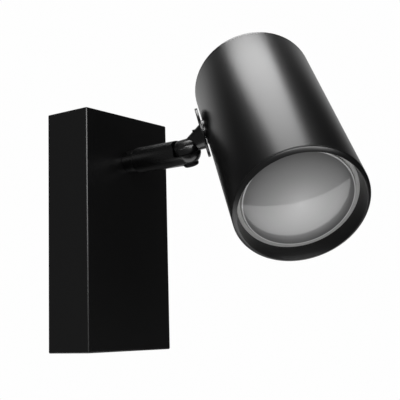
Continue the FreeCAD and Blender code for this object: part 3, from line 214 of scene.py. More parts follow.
def turned(name: str, outline: Sequence[tuple[float, float]], at: Matrix, edge: float = 0.0,
           sides: int = 192) -> bpy.types.Object:
    """Turns a piece about its frame's Z axis, as on a lathe.

    A circle is extruded from point to point of the outline. A point of radius 0 closes the
    piece on its axis, otherwise the last ring joins the first.

    Args:
        name: the piece's name.
        outline: radii and heights in millimetres, in order round the section.
        at: the frame of the piece.
        edge: how far its sharp edges are rounded.
        sides: how many sides a ring has.

    Returns:
        The finished mesh object.
    """
    capped = outline[0][0] == 0
    rings = list(outline[1:] if capped else outline)
    bpy.ops.object.select_all(action="DESELECT")
    first_radius, first_height = rings[0]
    bpy.ops.mesh.primitive_circle_add(vertices=sides, radius=first_radius * MM,
                                      fill_type="TRIFAN" if capped else "NOTHING",
                                      location=(0, 0, first_height * MM))
    piece = bpy.context.active_object
    bpy.ops.object.transform_apply(location=True)
    bpy.ops.object.mode_set(mode="EDIT")
    choose(piece, lambda spot: spot.xy.length > 0.5 * first_radius)
    radius, height = first_radius, first_height
    closing = [] if capped else [rings[0]]
    for next_radius, next_height in rings[1:] + closing:
        bpy.ops.mesh.extrude_edges_move(
            TRANSFORM_OT_translate={"value": (0, 0, (next_height - height) * MM)})
        if next_radius == 0:
            bpy.ops.mesh.merge(type="COLLAPSE")
        elif next_radius != radius:
            size = next_radius / radius
            bpy.ops.transform.resize(value=(size, size, 1), center_override=(0, 0, 0))
        radius, height = next_radius, next_height
    bpy.ops.mesh.select_all(action="SELECT")
    bpy.ops.mesh.remove_doubles(threshold=0.002 * MM)
    bpy.ops.mesh.normals_make_consistent(inside=False)
    bpy.ops.object.mode_set(mode="OBJECT")
    return finish_mesh(piece, name, at, edge)


def skin(node: str, name: str, crease: float = 35.0) -> bpy.types.Object:
    """Copies a node's shape, welds its loose triangles and shades its curves smooth.

    Args:
        node: the node that the copy will stand for.
        name: the copy's name.
        crease: faces that meet at less than this angle are shaded as one surface.

    Returns:
        The copy, a piece with its own mesh.
    """
    source = NODES[node]
    piece = bpy.data.objects.new(name, source.data.copy())
    bpy.context.scene.collection.objects.link(piece)
    piece.data.name = name
    alone(piece)
    if piece.data.has_custom_normals:
        bpy.ops.mesh.customdata_custom_splitnormals_clear()
    bpy.ops.object.mode_set(mode="EDIT")
    bpy.ops.mesh.select_all(action="SELECT")
    bpy.ops.mesh.remove_doubles(threshold=0.001 * MM)
    bpy.ops.mesh.dissolve_limited(angle_limit=math.radians(0.5))
    bpy.ops.object.mode_set(mode="OBJECT")
    bpy.ops.object.shade_smooth_by_angle(angle=math.radians(crease))
    return piece


# ------------------------------------------------------------------ finishes


@dataclass(frozen=True)
class Finish:
    """What every finish has: a name, a colour and how rough its surface is."""

    name: str
    colour: str
    roughness: float

    def material(self, local: Matrix = WALL) -> bpy.types.Material:
        """Makes the finish as a node material.

        Args:
            local: the frame whose axes a turned or rolled pattern follows.

        Returns:
            The material.
        """
        material = bpy.data.materials.new(self.name)
        material.use_nodes = True
        tree = material.node_tree
        tree.nodes.clear()
        surface = add(tree, "BsdfPrincipled", {"Roughness": self.roughness,
                                               "Base Color": linear(self.colour)})
        add(tree, "OutputMaterial", links={"Surface": surface.outputs["BSDF"]})
        self.detail(tree, surface, self.coordinates(tree, local))
        return material

    def coordinates(self, tree: bpy.types.NodeTree, local: Matrix) -> bpy.types.NodeSocket:
        """Object coordinates seen in a piece's own frame.

        Args:
            tree: the material's tree.
            local: the frame.

        Returns:
            The Mapping node's output.
        """
        back = local.inverted()
        spots = add(tree, "TexCoord")
        mapping = add(tree, "Mapping", {"Location": back.to_translation(),
                                        "Rotation": back.to_euler("XYZ")},
                      {"Vector": spots.outputs["Object"]})
        return mapping.outputs["Vector"]

    def detail(self, tree: bpy.types.NodeTree, surface: bpy.types.Node,
               spots: bpy.types.NodeSocket) -> None:
        """Adds what sets the finish apart.

        Args:
            tree: the material's tree.
            surface: its Principled node.
            spots: coordinates in the piece's frame, in metres.
        """
        raise NotImplementedError

    def vary(self, tree: bpy.types.NodeTree, surface: bpy.types.Node,
             factor: bpy.types.NodeSocket, low: str, high: str, rough: float) -> None:
        """Lets a pattern move the colour between two shades and the roughness about its mean.

        Args:
            tree: the material's tree.
            surface: its Principled node.
            factor: the pattern, 0 to 1.
            low: the sRGB colour at 0.
            high: the sRGB colour at 1.
            rough: how far the roughness goes up and down.
        """
        start, end = NOISE_RANGE
        colour = ramp(tree, factor, [(start, low), (end, high)])
        tree.links.new(colour, surface.inputs["Base Color"])
        least, most = SPREAD_RANGE
        spread = add(tree, "MapRange", {"From Min": least, "From Max": most,
                                        "To Min": self.roughness - rough,
                                        "To Max": self.roughness + rough}, {"Value": factor})
        tree.links.new(spread.outputs["Result"], surface.inputs["Roughness"])

    def relief(self, tree: bpy.types.NodeTree, surface: bpy.types.Node,
               height: bpy.types.NodeSocket, depth: float) -> None:
        """Gives the surface a relief.

        Args:
            tree: the material's tree.
            surface: its Principled node.
            height: the relief's pattern.
            depth: its depth in millimetres.
        """
        bump = add(tree, "Bump", {"Distance": depth * MM, "Strength": 1.0}, {"Height": height})
        tree.links.new(bump.outputs["Normal"], surface.inputs["Normal"])


@dataclass(frozen=True)
class PowderCoat(Finish):
    """Polyester powder sprayed on sheet steel or a drawn tube and baked.

    The melt levels to a satin skin with a shallow orange peel a few millimetres wide and a grit
    far finer than that, so a lamp's reflection keeps a soft, slightly grainy edge.
    """

    shadow: str = "#050506"
    peel: float = 2.2
    peel_depth: float = 0.0022
    grit: float = 0.22
    grit_share: float = 0.12
    rough_spread: float = 0.035

    def detail(self, tree: bpy.types.NodeTree, surface: bpy.types.Node,
               spots: bpy.types.NodeSocket) -> None:
        """Orange peel and grit in the relief, the grit also in the roughness."""
        peel = add(tree, "TexNoise", {"Scale": per_mm(self.peel), "Detail": 1.0},
                   {"Vector": spots})
        grit = add(tree, "TexNoise", {"Scale": per_mm(self.grit), "Detail": 2.0},
                   {"Vector": spots})
        self.vary(tree, surface, grit.outputs["Fac"], self.shadow, self.colour,
                  self.rough_spread)
        both = add(tree, "Math", {"operation": "MULTIPLY_ADD", 1: self.grit_share},
                   {0: grit.outputs["Fac"], 2: peel.outputs["Fac"]})
        self.relief(tree, surface, both.outputs["Value"], self.peel_depth)


@dataclass(frozen=True)
class ZincSheet(Finish):
    """Steel sheet dipped in molten zinc, then folded.

    The zinc freezes in flat crystals of a few millimetres, each a little lighter or duller than
    the next.
    """

    shadow: str = "#8f9498"
    spangle: float = 4.5
    rough_spread: float = 0.08
    mark: float = 0.6
    mark_depth: float = 0.002

    def detail(self, tree: bpy.types.NodeTree, surface: bpy.types.Node,
               spots: bpy.types.NodeSocket) -> None:
        """Crystals by a cell pattern, with fine rolling marks in the relief."""
        surface.inputs["Metallic"].default_value = 1.0
        cells = add(tree, "TexVoronoi", {"Scale": per_mm(self.spangle)}, {"Vector": spots})
        shade = add(tree, "SeparateColor", links={"Color": cells.outputs["Color"]})
        self.vary(tree, surface, shade.outputs["Red"], self.shadow, self.colour,
                  self.rough_spread)
        marks = add(tree, "TexNoise", {"Scale": per_mm(self.mark), "Detail": 3.0},
                    {"Vector": spots})
        self.relief(tree, surface, marks.outputs["Fac"], self.mark_depth)


@dataclass(frozen=True)
class PlatedMetal(Finish):
    """Turned or cold-formed metal, plated, blackened or left bright.

    The tool leaves fine rings about the piece's axis, and handling dulls it in patches.
    """

    shadow: str = "#808080"
    metal: float = 1.0
    patch: float = 1.8
    rough_spread: float = 0.07
    ring_radian: float = 0.25
    ring_wobble: float = 0.4
    ring_depth: float = 0.0015

    def detail(self, tree: bpy.types.NodeTree, surface: bpy.types.Node,
               spots: bpy.types.NodeSocket) -> None:
        """Tool rings in the relief, dull patches in the colour."""
        surface.inputs["Metallic"].default_value = self.metal
        patches = add(tree, "TexNoise", {"Scale": per_mm(self.patch), "Detail": 3.0},
                      {"Vector": spots})
        self.vary(tree, surface, patches.outputs["Fac"], self.shadow, self.colour,
                  self.rough_spread)
        rings = add(tree, "TexWave", {"wave_type": "RINGS", "rings_direction": "Z",
                                      "Scale": wave_per_mm(self.ring_radian),
                                      "Distortion": self.ring_wobble}, {"Vector": spots})
        self.relief(tree, surface, rings.outputs["Fac"], self.ring_depth)


@dataclass(frozen=True)
class Moulded(Finish):
    """Plastic, rubber or pressed ceramic out of a mould.

    The mould's spark-eroded skin gives it a fine even grain, and the mass varies very little in
    shade.
    """

    shadow: str = "#808080"
    cloud: float = 6.0
    rough_spread: float = 0.05
    grain: float = 0.35
    depth: float = 0.004
    glow: float = 0.0
    glow_reach: float = 1.0

    def detail(self, tree: bpy.types.NodeTree, surface: bpy.types.Node,
               spots: bpy.types.NodeSocket) -> None:
        """Mould grain in the relief and a cloudy shade."""
        surface.inputs["Subsurface Weight"].default_value = self.glow
        surface.inputs["Subsurface Scale"].default_value = self.glow_reach * MM
        clouds = add(tree, "TexNoise", {"Scale": per_mm(self.cloud), "Detail": 2.0},
                     {"Vector": spots})
        self.vary(tree, surface, clouds.outputs["Fac"], self.shadow, self.colour,
                  self.rough_spread)
        grain = add(tree, "TexNoise", {"Scale": per_mm(self.grain), "Detail": 2.0},
                    {"Vector": spots})
        self.relief(tree, surface, grain.outputs["Fac"], self.depth)


class Lead(Enum):
    """The three leads: each one's colour and its darker shade, or earth's second colour."""

    LIVE = ("#6a3d22", "#522d18")
    NEUTRAL = ("#2f6cae", "#245a94")
    EARTH = ("#2f8a3c", "#d8c52c")


@dataclass(frozen=True)
class LeadJacket(Finish):
    """Silicone rubber extruded over stranded wire.

    A soft skin with a faint, uneven drag. Earth has two colours in stripes.
    """

    lead: Lead = Lead.LIVE
    drag: float = 0.5
    drag_depth: float = 0.006
    stripe_radian: float = 2.4

    def detail(self, tree: bpy.types.NodeTree, surface: bpy.types.Node,
               spots: bpy.types.NodeSocket) -> None:
        """Two colours in stripes for earth, or two near shades of one colour."""
        light, dark = self.lead.value
        drag = add(tree, "TexNoise", {"Scale": per_mm(self.drag), "Detail": 2.0},
                   {"Vector": spots})
        if self.lead is Lead.EARTH:
            stripes = add(tree, "TexWave", {"wave_type": "BANDS", "bands_direction": "DIAGONAL",
                                            "Scale": wave_per_mm(self.stripe_radian)},
                          {"Vector": spots})
            colour = ramp(tree, stripes.outputs["Fac"], [(0.0, light), (0.5, dark)], "CONSTANT")
        else:
            start, end = NOISE_RANGE
            colour = ramp(tree, drag.outputs["Fac"], [(start, dark), (end, light)])
        tree.links.new(colour, surface.inputs["Base Color"])
        self.relief(tree, surface, drag.outputs["Fac"], self.drag_depth)


@dataclass(frozen=True)
class LeadBundle(Finish):
    """The three leads side by side in a bore, told apart by where they lie about its axis."""

    first_turn: float = 1 / 4
    drag: float = 0.5
    drag_depth: float = 0.006

    def detail(self, tree: bpy.types.NodeTree, surface: bpy.types.Node,
               spots: bpy.types.NodeSocket) -> None:
        """A colour for each third of the turn: live, earth and neutral."""
        angle = add(tree, "TexGradient", {"gradient_type": "RADIAL"}, {"Vector": spots})
        live, neutral, earth = (lead.value[0] for lead in (Lead.LIVE, Lead.NEUTRAL, Lead.EARTH))
        turns = [self.first_turn + third / 3 for third in range(3)]
        colour = ramp(tree, angle.outputs["Fac"],
                      [(0.0, live), *zip(turns, (earth, neutral, live))], "CONSTANT")
        tree.links.new(colour, surface.inputs["Base Color"])
        drag = add(tree, "TexNoise", {"Scale": per_mm(self.drag), "Detail": 2.0},
                   {"Vector": spots})
        self.relief(tree, surface, drag.outputs["Fac"], self.drag_depth)


@dataclass(frozen=True)
class FrostedLens(Finish):
    """Polycarbonate lens, moulded smooth outside and etched inside.

    The outside mirrors a lamp faintly. Its colour is painted shade, pale in the middle and darker
    towards the rim, and the rim is a painted white highlight.
    """

    rim: float = 24.3
    radius: float = 24.7
    # Painted shade: the colour darkens halfway out and more by the rim.
    halfway_shade: str = "#a4a4a4"
    rim_shade: str = "#787878"
    # Painted highlight: white on the band from rim to radius.
    clear: str = "#ffffff"
    halfway_share: float = 0.5
    rim_fade: float = 0.01
    refraction: float = 1.58
    gloss: float = 0.7
    gloss_roughness: float = 0.05
    frost: float = 0.3
    frost_depth: float = 0.002

    def detail(self, tree: bpy.types.NodeTree, surface: bpy.types.Node,
               spots: bpy.types.NodeSocket) -> None:
        """Painted shade, pale in the middle and darker outwards, under a clear coat, and a painted
        white highlight on the rim.
        """
        for key, value in (("Coat Weight", self.gloss), ("Coat Roughness", self.gloss_roughness),
                           ("Coat IOR", self.refraction), ("IOR", self.refraction)):
            surface.inputs[key].default_value = value
        flat = add(tree, "Mapping", {"Scale": (1, 1, 0)}, {"Vector": spots})
        distance = add(tree, "VectorMath", {"operation": "LENGTH"}, {0: flat.outputs["Vector"]})
        share = add(tree, "Math", {"operation": "DIVIDE", 1: self.radius * MM},
                    {0: distance.outputs["Value"]})
        edge = self.rim / self.radius
        # Painted shade darkening outwards from the middle, then a painted white highlight on the
        # rim.
        colour = ramp(tree, share.outputs["Value"], [
            (0.0, self.colour), (self.halfway_share, self.halfway_shade),
            (edge - self.rim_fade, self.rim_shade), (edge, self.clear)])
        tree.links.new(colour, surface.inputs["Base Color"])
        frost = add(tree, "TexNoise", {"Scale": per_mm(self.frost), "Detail": 2.0},
                    {"Vector": spots})
        self.relief(tree, surface, frost.outputs["Fac"], self.frost_depth)


# What the light is made of. The blacks are as dark as the photograph's unlit faces.
BLACK_COAT = PowderCoat("satin_powder_coat", "#08080a", 0.33)
ARM_COAT = PowderCoat("stove_enamel", "#070708", 0.27, peel=1.4, peel_depth=0.0015)
ZINC_SHEET = ZincSheet("galvanised_steel", "#b4b9bc", 0.42)
ZINC_PLATE = PlatedMetal("zinc_plated_steel", "#c6c8c6", 0.30, shadow="#a3a5a6")
BLACK_OXIDE = PlatedMetal("blackened_steel", "#2b2b2d", 0.38, shadow="#18181a", metal=0.85)
BRASS = PlatedMetal("turned_brass", "#d3ae62", 0.27, shadow="#a98545")
NYLON = Moulded("moulded_nylon", "#e4e0d3", 0.46, shadow="#dcd7c8", glow=0.2)
RUBBER = Moulded("moulded_rubber", "#1c1c1c", 0.72, shadow="#141414", grain=0.5, depth=0.01)
FIBRE = Moulded("vulcanised_fibre", "#7a4a38", 0.7, shadow="#643a2b", grain=0.8, depth=0.01)
GREY_RING = Moulded("moulded_silicone_grey", "#dadad8", 0.5, shadow="#d0d0cf")
LAMP_BODY = Moulded("moulded_thermoplastic_white", "#e8e8e4", 0.4, shadow="#dfdfda")
STEATITE = Moulded("pressed_steatite", "#ebe6d8", 0.33, shadow="#e0dac9", grain=0.9, depth=0.008)
LENS = FrostedLens("frosted_polycarbonate", "#d2d2d2", 0.44)
JACKETS = {lead: LeadJacket("silicone_lead_" + lead.name.lower(), lead.value[0], 0.5, lead=lead)
           for lead in Lead}
BUNDLE = LeadBundle("silicone_lead_bundle", "#6a3d22", 0.5)


class Wardrobe:
    """Makes each finish once for each frame and puts it on nodes and pieces."""

    def __init__(self) -> None:
        """Starts with nothing made."""
        self.made: dict[tuple[str, str], bpy.types.Material] = {}

    def dress(self, piece: bpy.types.Object, finish: Finish, local: Matrix = WALL) -> None:
        """Gives a piece or node its finish.

        Args:
            piece: the mesh object.
            finish: the finish.
            local: the frame that the finish's pattern follows.
        """
        key = (finish.name, str([round(value, 5) for row in local for value in row]))
        if key not in self.made:
            self.made[key] = finish.material(local)
        if not piece.material_slots:
            piece.data.materials.append(None)
        for held in piece.material_slots:
            held.link = "OBJECT"
            held.material = self.made[key]

    def dress_nodes(self, names: Sequence[str], finish: Finish, local: Matrix = WALL) -> None:
        """Gives several CAD nodes the same finish.

        Args:
            names: the nodes' names.
            finish: the finish.
            local: the frame that the finish's pattern follows.
        """
        for name in names:
            self.dress(NODES[name], finish, local)
            log.info("node %s: %s", name, finish.name)


class Assembly:
    """What the sub-assemblies share: a wardrobe and how a piece is handed over."""

    def hand_over(self, piece: bpy.types.Object, body: str, node: str, slot: str,
                  finish: Finish, wardrobe: Wardrobe, local: Matrix) -> None:
        """Dresses a piece, puts it in place of its node and lets it ride.

        Args:
            piece: the finished piece.
            body: the body that it moves with.
            node: the node that it stands for.
            slot: the record's material slot; not used.
            finish: its finish.
            wardrobe: where the finish comes from.
            local: the frame that the finish's pattern follows.
        """
        wardrobe.dress(piece, finish, local)
        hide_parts(node)
        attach(piece, body)
        log.info("piece %s: %s, %d faces", piece.name, finish.name, len(piece.data.polygons))


# ------------------------------------------------------------------ sub-assemblies


@dataclass
class WallBox(Assembly):
    """The folded box on the wall with its bracket, terminals and leads."""

    body: str = "wall_box"
    grommet_at: Point = (0.0, 0.0, -31.0)
    grommet_outline: tuple[tuple[float, float], ...] = (
        (4.0, 0.4), (4.4, 0.0), (7.0, 0.0), (7.0, 1.5), (8.4, 1.5), (9.0, 1.9), (9.0, 2.9),
        (8.2, 3.5), (4.9, 3.5), (4.0, 2.9))

    def build(self, wardrobe: Wardrobe) -> None:
        """Makes the cover and the grommet and dresses the nodes.

        Args:
            wardrobe: where the finishes come from.
        """
        cover = skin("box_cover", "folded_cover")
        self.hand_over(cover, self.body, "box_cover", "black_coat", BLACK_COAT, wardrobe, WALL)
        self.build_grommet(wardrobe)
        wardrobe.dress_nodes(["wall_bracket", "swivel_plate"], ZINC_SHEET)
        wardrobe.dress_nodes(["terminal_block"], NYLON)
        wardrobe.dress_nodes(["cover_screws"], BLACK_OXIDE)
        wardrobe.dress_nodes(["terminal_screws", "block_screw", "earth_washer"], ZINC_PLATE)
        wardrobe.dress_nodes(["terminal_inserts", "earth_tag", "earth_screw"], BRASS)
        for name, lead in (("box_live_lead", Lead.LIVE), ("box_neutral_lead", Lead.NEUTRAL),
                           ("box_earth_lead", Lead.EARTH)):
            wardrobe.dress_nodes([name], JACKETS[lead])

    def build_grommet(self, wardrobe: Wardrobe) -> None:
        """Turns the rubber grommet with its rounded lips.

        Args:
            wardrobe: where the finish comes from.
        """
        at = place(self.grommet_at, (1, 0, 0), (0, -1, 0))
        grommet = turned("cable_grommet", self.grommet_outline, at, edge=0.25, sides=96)
        self.hand_over(grommet, self.body, "inlet_grommet", "rubber", RUBBER, wardrobe, at)


@dataclass
class SwivelArm(Assembly):
    """The arm that turns in the box, with its collar, nipple, washers and nut."""

    body: str = "arm"
    collar: tuple[tuple[float, float], ...] = ((5.0, 0.1), (5.5, 0.1), (5.5, 6.4), (5.0, 6.4))

    def build(self, wardrobe: Wardrobe) -> None:
        """Makes the collar and the rod and dresses the nodes.

        Args:
            wardrobe: where the finishes come from.
        """
        collar = turned("arm_collar", self.collar, ARM, edge=0.12)
        self.hand_over(collar, self.body, "neck_collar", "arm_coat", ARM_COAT, wardrobe, ARM)
        rod = skin("arm_tube", "arm_rod")
        self.hand_over(rod, self.body, "arm_tube", "arm_coat", ARM_COAT, wardrobe, ARM)
        wardrobe.dress_nodes(["threaded_nipple", "stop_washer", "arm_nut"], ZINC_PLATE, ARM)
        wardrobe.dress_nodes(["friction_washer", "lap_washer"], FIBRE, ARM)
        wardrobe.dress_nodes(["arm_leads"], BUNDLE, ARM)


@dataclass
class KnuckleStem(Assembly):
    """The head's half of the knuckle and the thin disc that the head turns on."""

    body: str = "stem"
    disc_radius: float = 12.25
    disc_bore: float = 3.0
    disc_low: float = 9.0
    disc_high: float = 10.4

    def build(self, wardrobe: Wardrobe) -> None:
        """Makes the stem and the disc and dresses the nodes.

        Args:
            wardrobe: where the finishes come from.
        """
        stem = skin("knuckle_stem", "knuckle_neck")
        self.hand_over(stem, self.body, "knuckle_stem", "arm_coat", ARM_COAT, wardrobe, STEM)
        disc = turned("turning_disc", [
            (self.disc_bore, self.disc_low), (self.disc_radius, self.disc_low),
            (self.disc_radius, self.disc_high), (self.disc_bore, self.disc_high)], DISC, edge=0.3)
        self.hand_over(disc, self.body, "mount_disc", "arm_coat", ARM_COAT, wardrobe, DISC)
        wardrobe.dress_nodes(["pivot_screw", "lead_grip_screw"], BLACK_OXIDE, STEM)
        wardrobe.dress_nodes(["pivot_spring_washer"], ZINC_PLATE, STEM)
        wardrobe.dress_nodes(["swivel_stud", "stud_washer", "stud_nut"], ZINC_PLATE, DISC)
        wardrobe.dress_nodes(["stem_leads"], BUNDLE, DISC)


@dataclass
class LampHead(Assembly):
    """The round head: tube, cap and front ring, with the lamp and its holder inside."""

    body: str = "head"
    radius: float = 30.0
    bore: float = 28.2
    rim: float = -1.0
    tail: float = -102.6
    stud_at: float = -75.7
    stud_hole: float = 3.05
    drill_length: float = 12.0
    drill_sides: int = 48
    tube_sides: int = 256
    ring: tuple[tuple[float, float], ...] = (
        (30.0, -1.0), (30.0, -0.4), (29.6, 0.0), (28.0, 1.2), (26.9, -6.4), (26.9, -8.4),
        (25.05, -8.4), (25.05, -10.0), (28.15, -10.0), (28.15, -1.0))
    seat: tuple[tuple[float, float], ...] = (
        (25.05, -8.4), (26.9, -8.4), (26.9, -6.4), (25.05, -6.4))

    def build(self, wardrobe: Wardrobe) -> None:
        """Makes the shell and the ring round the lamp and dresses the nodes.

        Args:
            wardrobe: where the finishes come from.
        """
        self.hand_over(self.make_tube(), self.body, "head_tube", "black_coat", BLACK_COAT,
                       wardrobe, HEAD)
        bezel = turned("front_bezel", self.ring, HEAD, edge=0.32)
        self.hand_over(bezel, self.body, "front_ring", "black_coat", BLACK_COAT, wardrobe, HEAD)
        seat = turned("lamp_seat_ring", self.seat, HEAD, edge=0.2)
        self.hand_over(seat, self.body, "centring_ring", "ring_grey", GREY_RING, wardrobe, HEAD)
        cap = skin("rear_cap", "vented_cap")
        self.hand_over(cap, self.body, "rear_cap", "black_coat", BLACK_COAT, wardrobe, HEAD)
        wardrobe.dress_nodes(["saddle_pad"], ARM_COAT, HEAD)
        wardrobe.dress_nodes(["inner_saddle", "plate_screws", "holder_screws"], ZINC_PLATE, HEAD)
        wardrobe.dress_nodes(["holder_plate"], ZINC_SHEET, HEAD)
        wardrobe.dress_nodes(["pillars", "lamp_pins", "head_earth_tag", "head_earth_screw"],
                             BRASS, HEAD)
        wardrobe.dress_nodes(["cap_screws"], BLACK_OXIDE, HEAD)
        wardrobe.dress_nodes(["lampholder"], STEATITE, HEAD)
        wardrobe.dress_nodes(["lamp_shell"], LAMP_BODY, HEAD)
        for name, lead in (("head_live_lead", Lead.LIVE), ("head_neutral_lead", Lead.NEUTRAL),
                           ("head_earth_lead", Lead.EARTH)):
            wardrobe.dress_nodes([name], JACKETS[lead], HEAD)

    def make_tube(self) -> bpy.types.Object:
        """Turns the tube and drills its stud hole.

        Returns:
            The tube.
        """
        tube = turned("lamp_tube", [(self.bore, self.tail), (self.radius, self.tail),
                                    (self.radius, self.rim), (self.bore, self.rim)],
                      HEAD, edge=0.12, sides=self.tube_sides)
        bpy.ops.object.select_all(action="DESELECT")
        bpy.ops.mesh.primitive_cylinder_add(vertices=self.drill_sides,
                                            radius=self.stud_hole * MM,
                                            depth=self.drill_length * MM)
        drill = bpy.context.active_object
        side = Matrix.Translation((self.radius * MM, 0, self.stud_at * MM))
        drill.matrix_world = HEAD @ side @ Matrix.Rotation(math.pi / 2, 4, "Y")
        alone(tube)
        hole = tube.modifiers.new("stud_hole", "BOOLEAN")
        hole.object = drill
        hole.operation = "DIFFERENCE"
        bpy.ops.object.modifier_apply(modifier=hole.name)
        bpy.data.objects.remove(drill)
        bpy.ops.object.shade_smooth_by_angle(angle=math.radians(35))
        return tube


@dataclass
class ReflectorLamp(Assembly):
    """The lamp's lens, seen behind the front ring."""

    body: str = "head"
    face: float = -5.55
    back: float = 1.6
    radius: float = 24.7
    dome: float = 3.6
    rings: int = 28

    def build(self, wardrobe: Wardrobe) -> None:
        """Makes the domed lens.

        Args:
            wardrobe: where the finish comes from.
        """
        ball = (self.radius ** 2 + self.dome ** 2) / (2 * self.dome)
        reach = math.asin(self.radius / ball)
        low = self.face - self.back
        crown = self.face + self.dome - ball
        dome = [(ball * math.sin(reach * step / self.rings),
                 crown + ball * math.cos(reach * step / self.rings))
                for step in range(self.rings, -1, -1)]
        glass = turned("lamp_glass", [(0, low), (self.radius, low), *dome], HEAD)
        self.hand_over(glass, self.body, "lamp_lens", "lamp_lens", LENS, wardrobe, HEAD)


# ------------------------------------------------------------------ studio


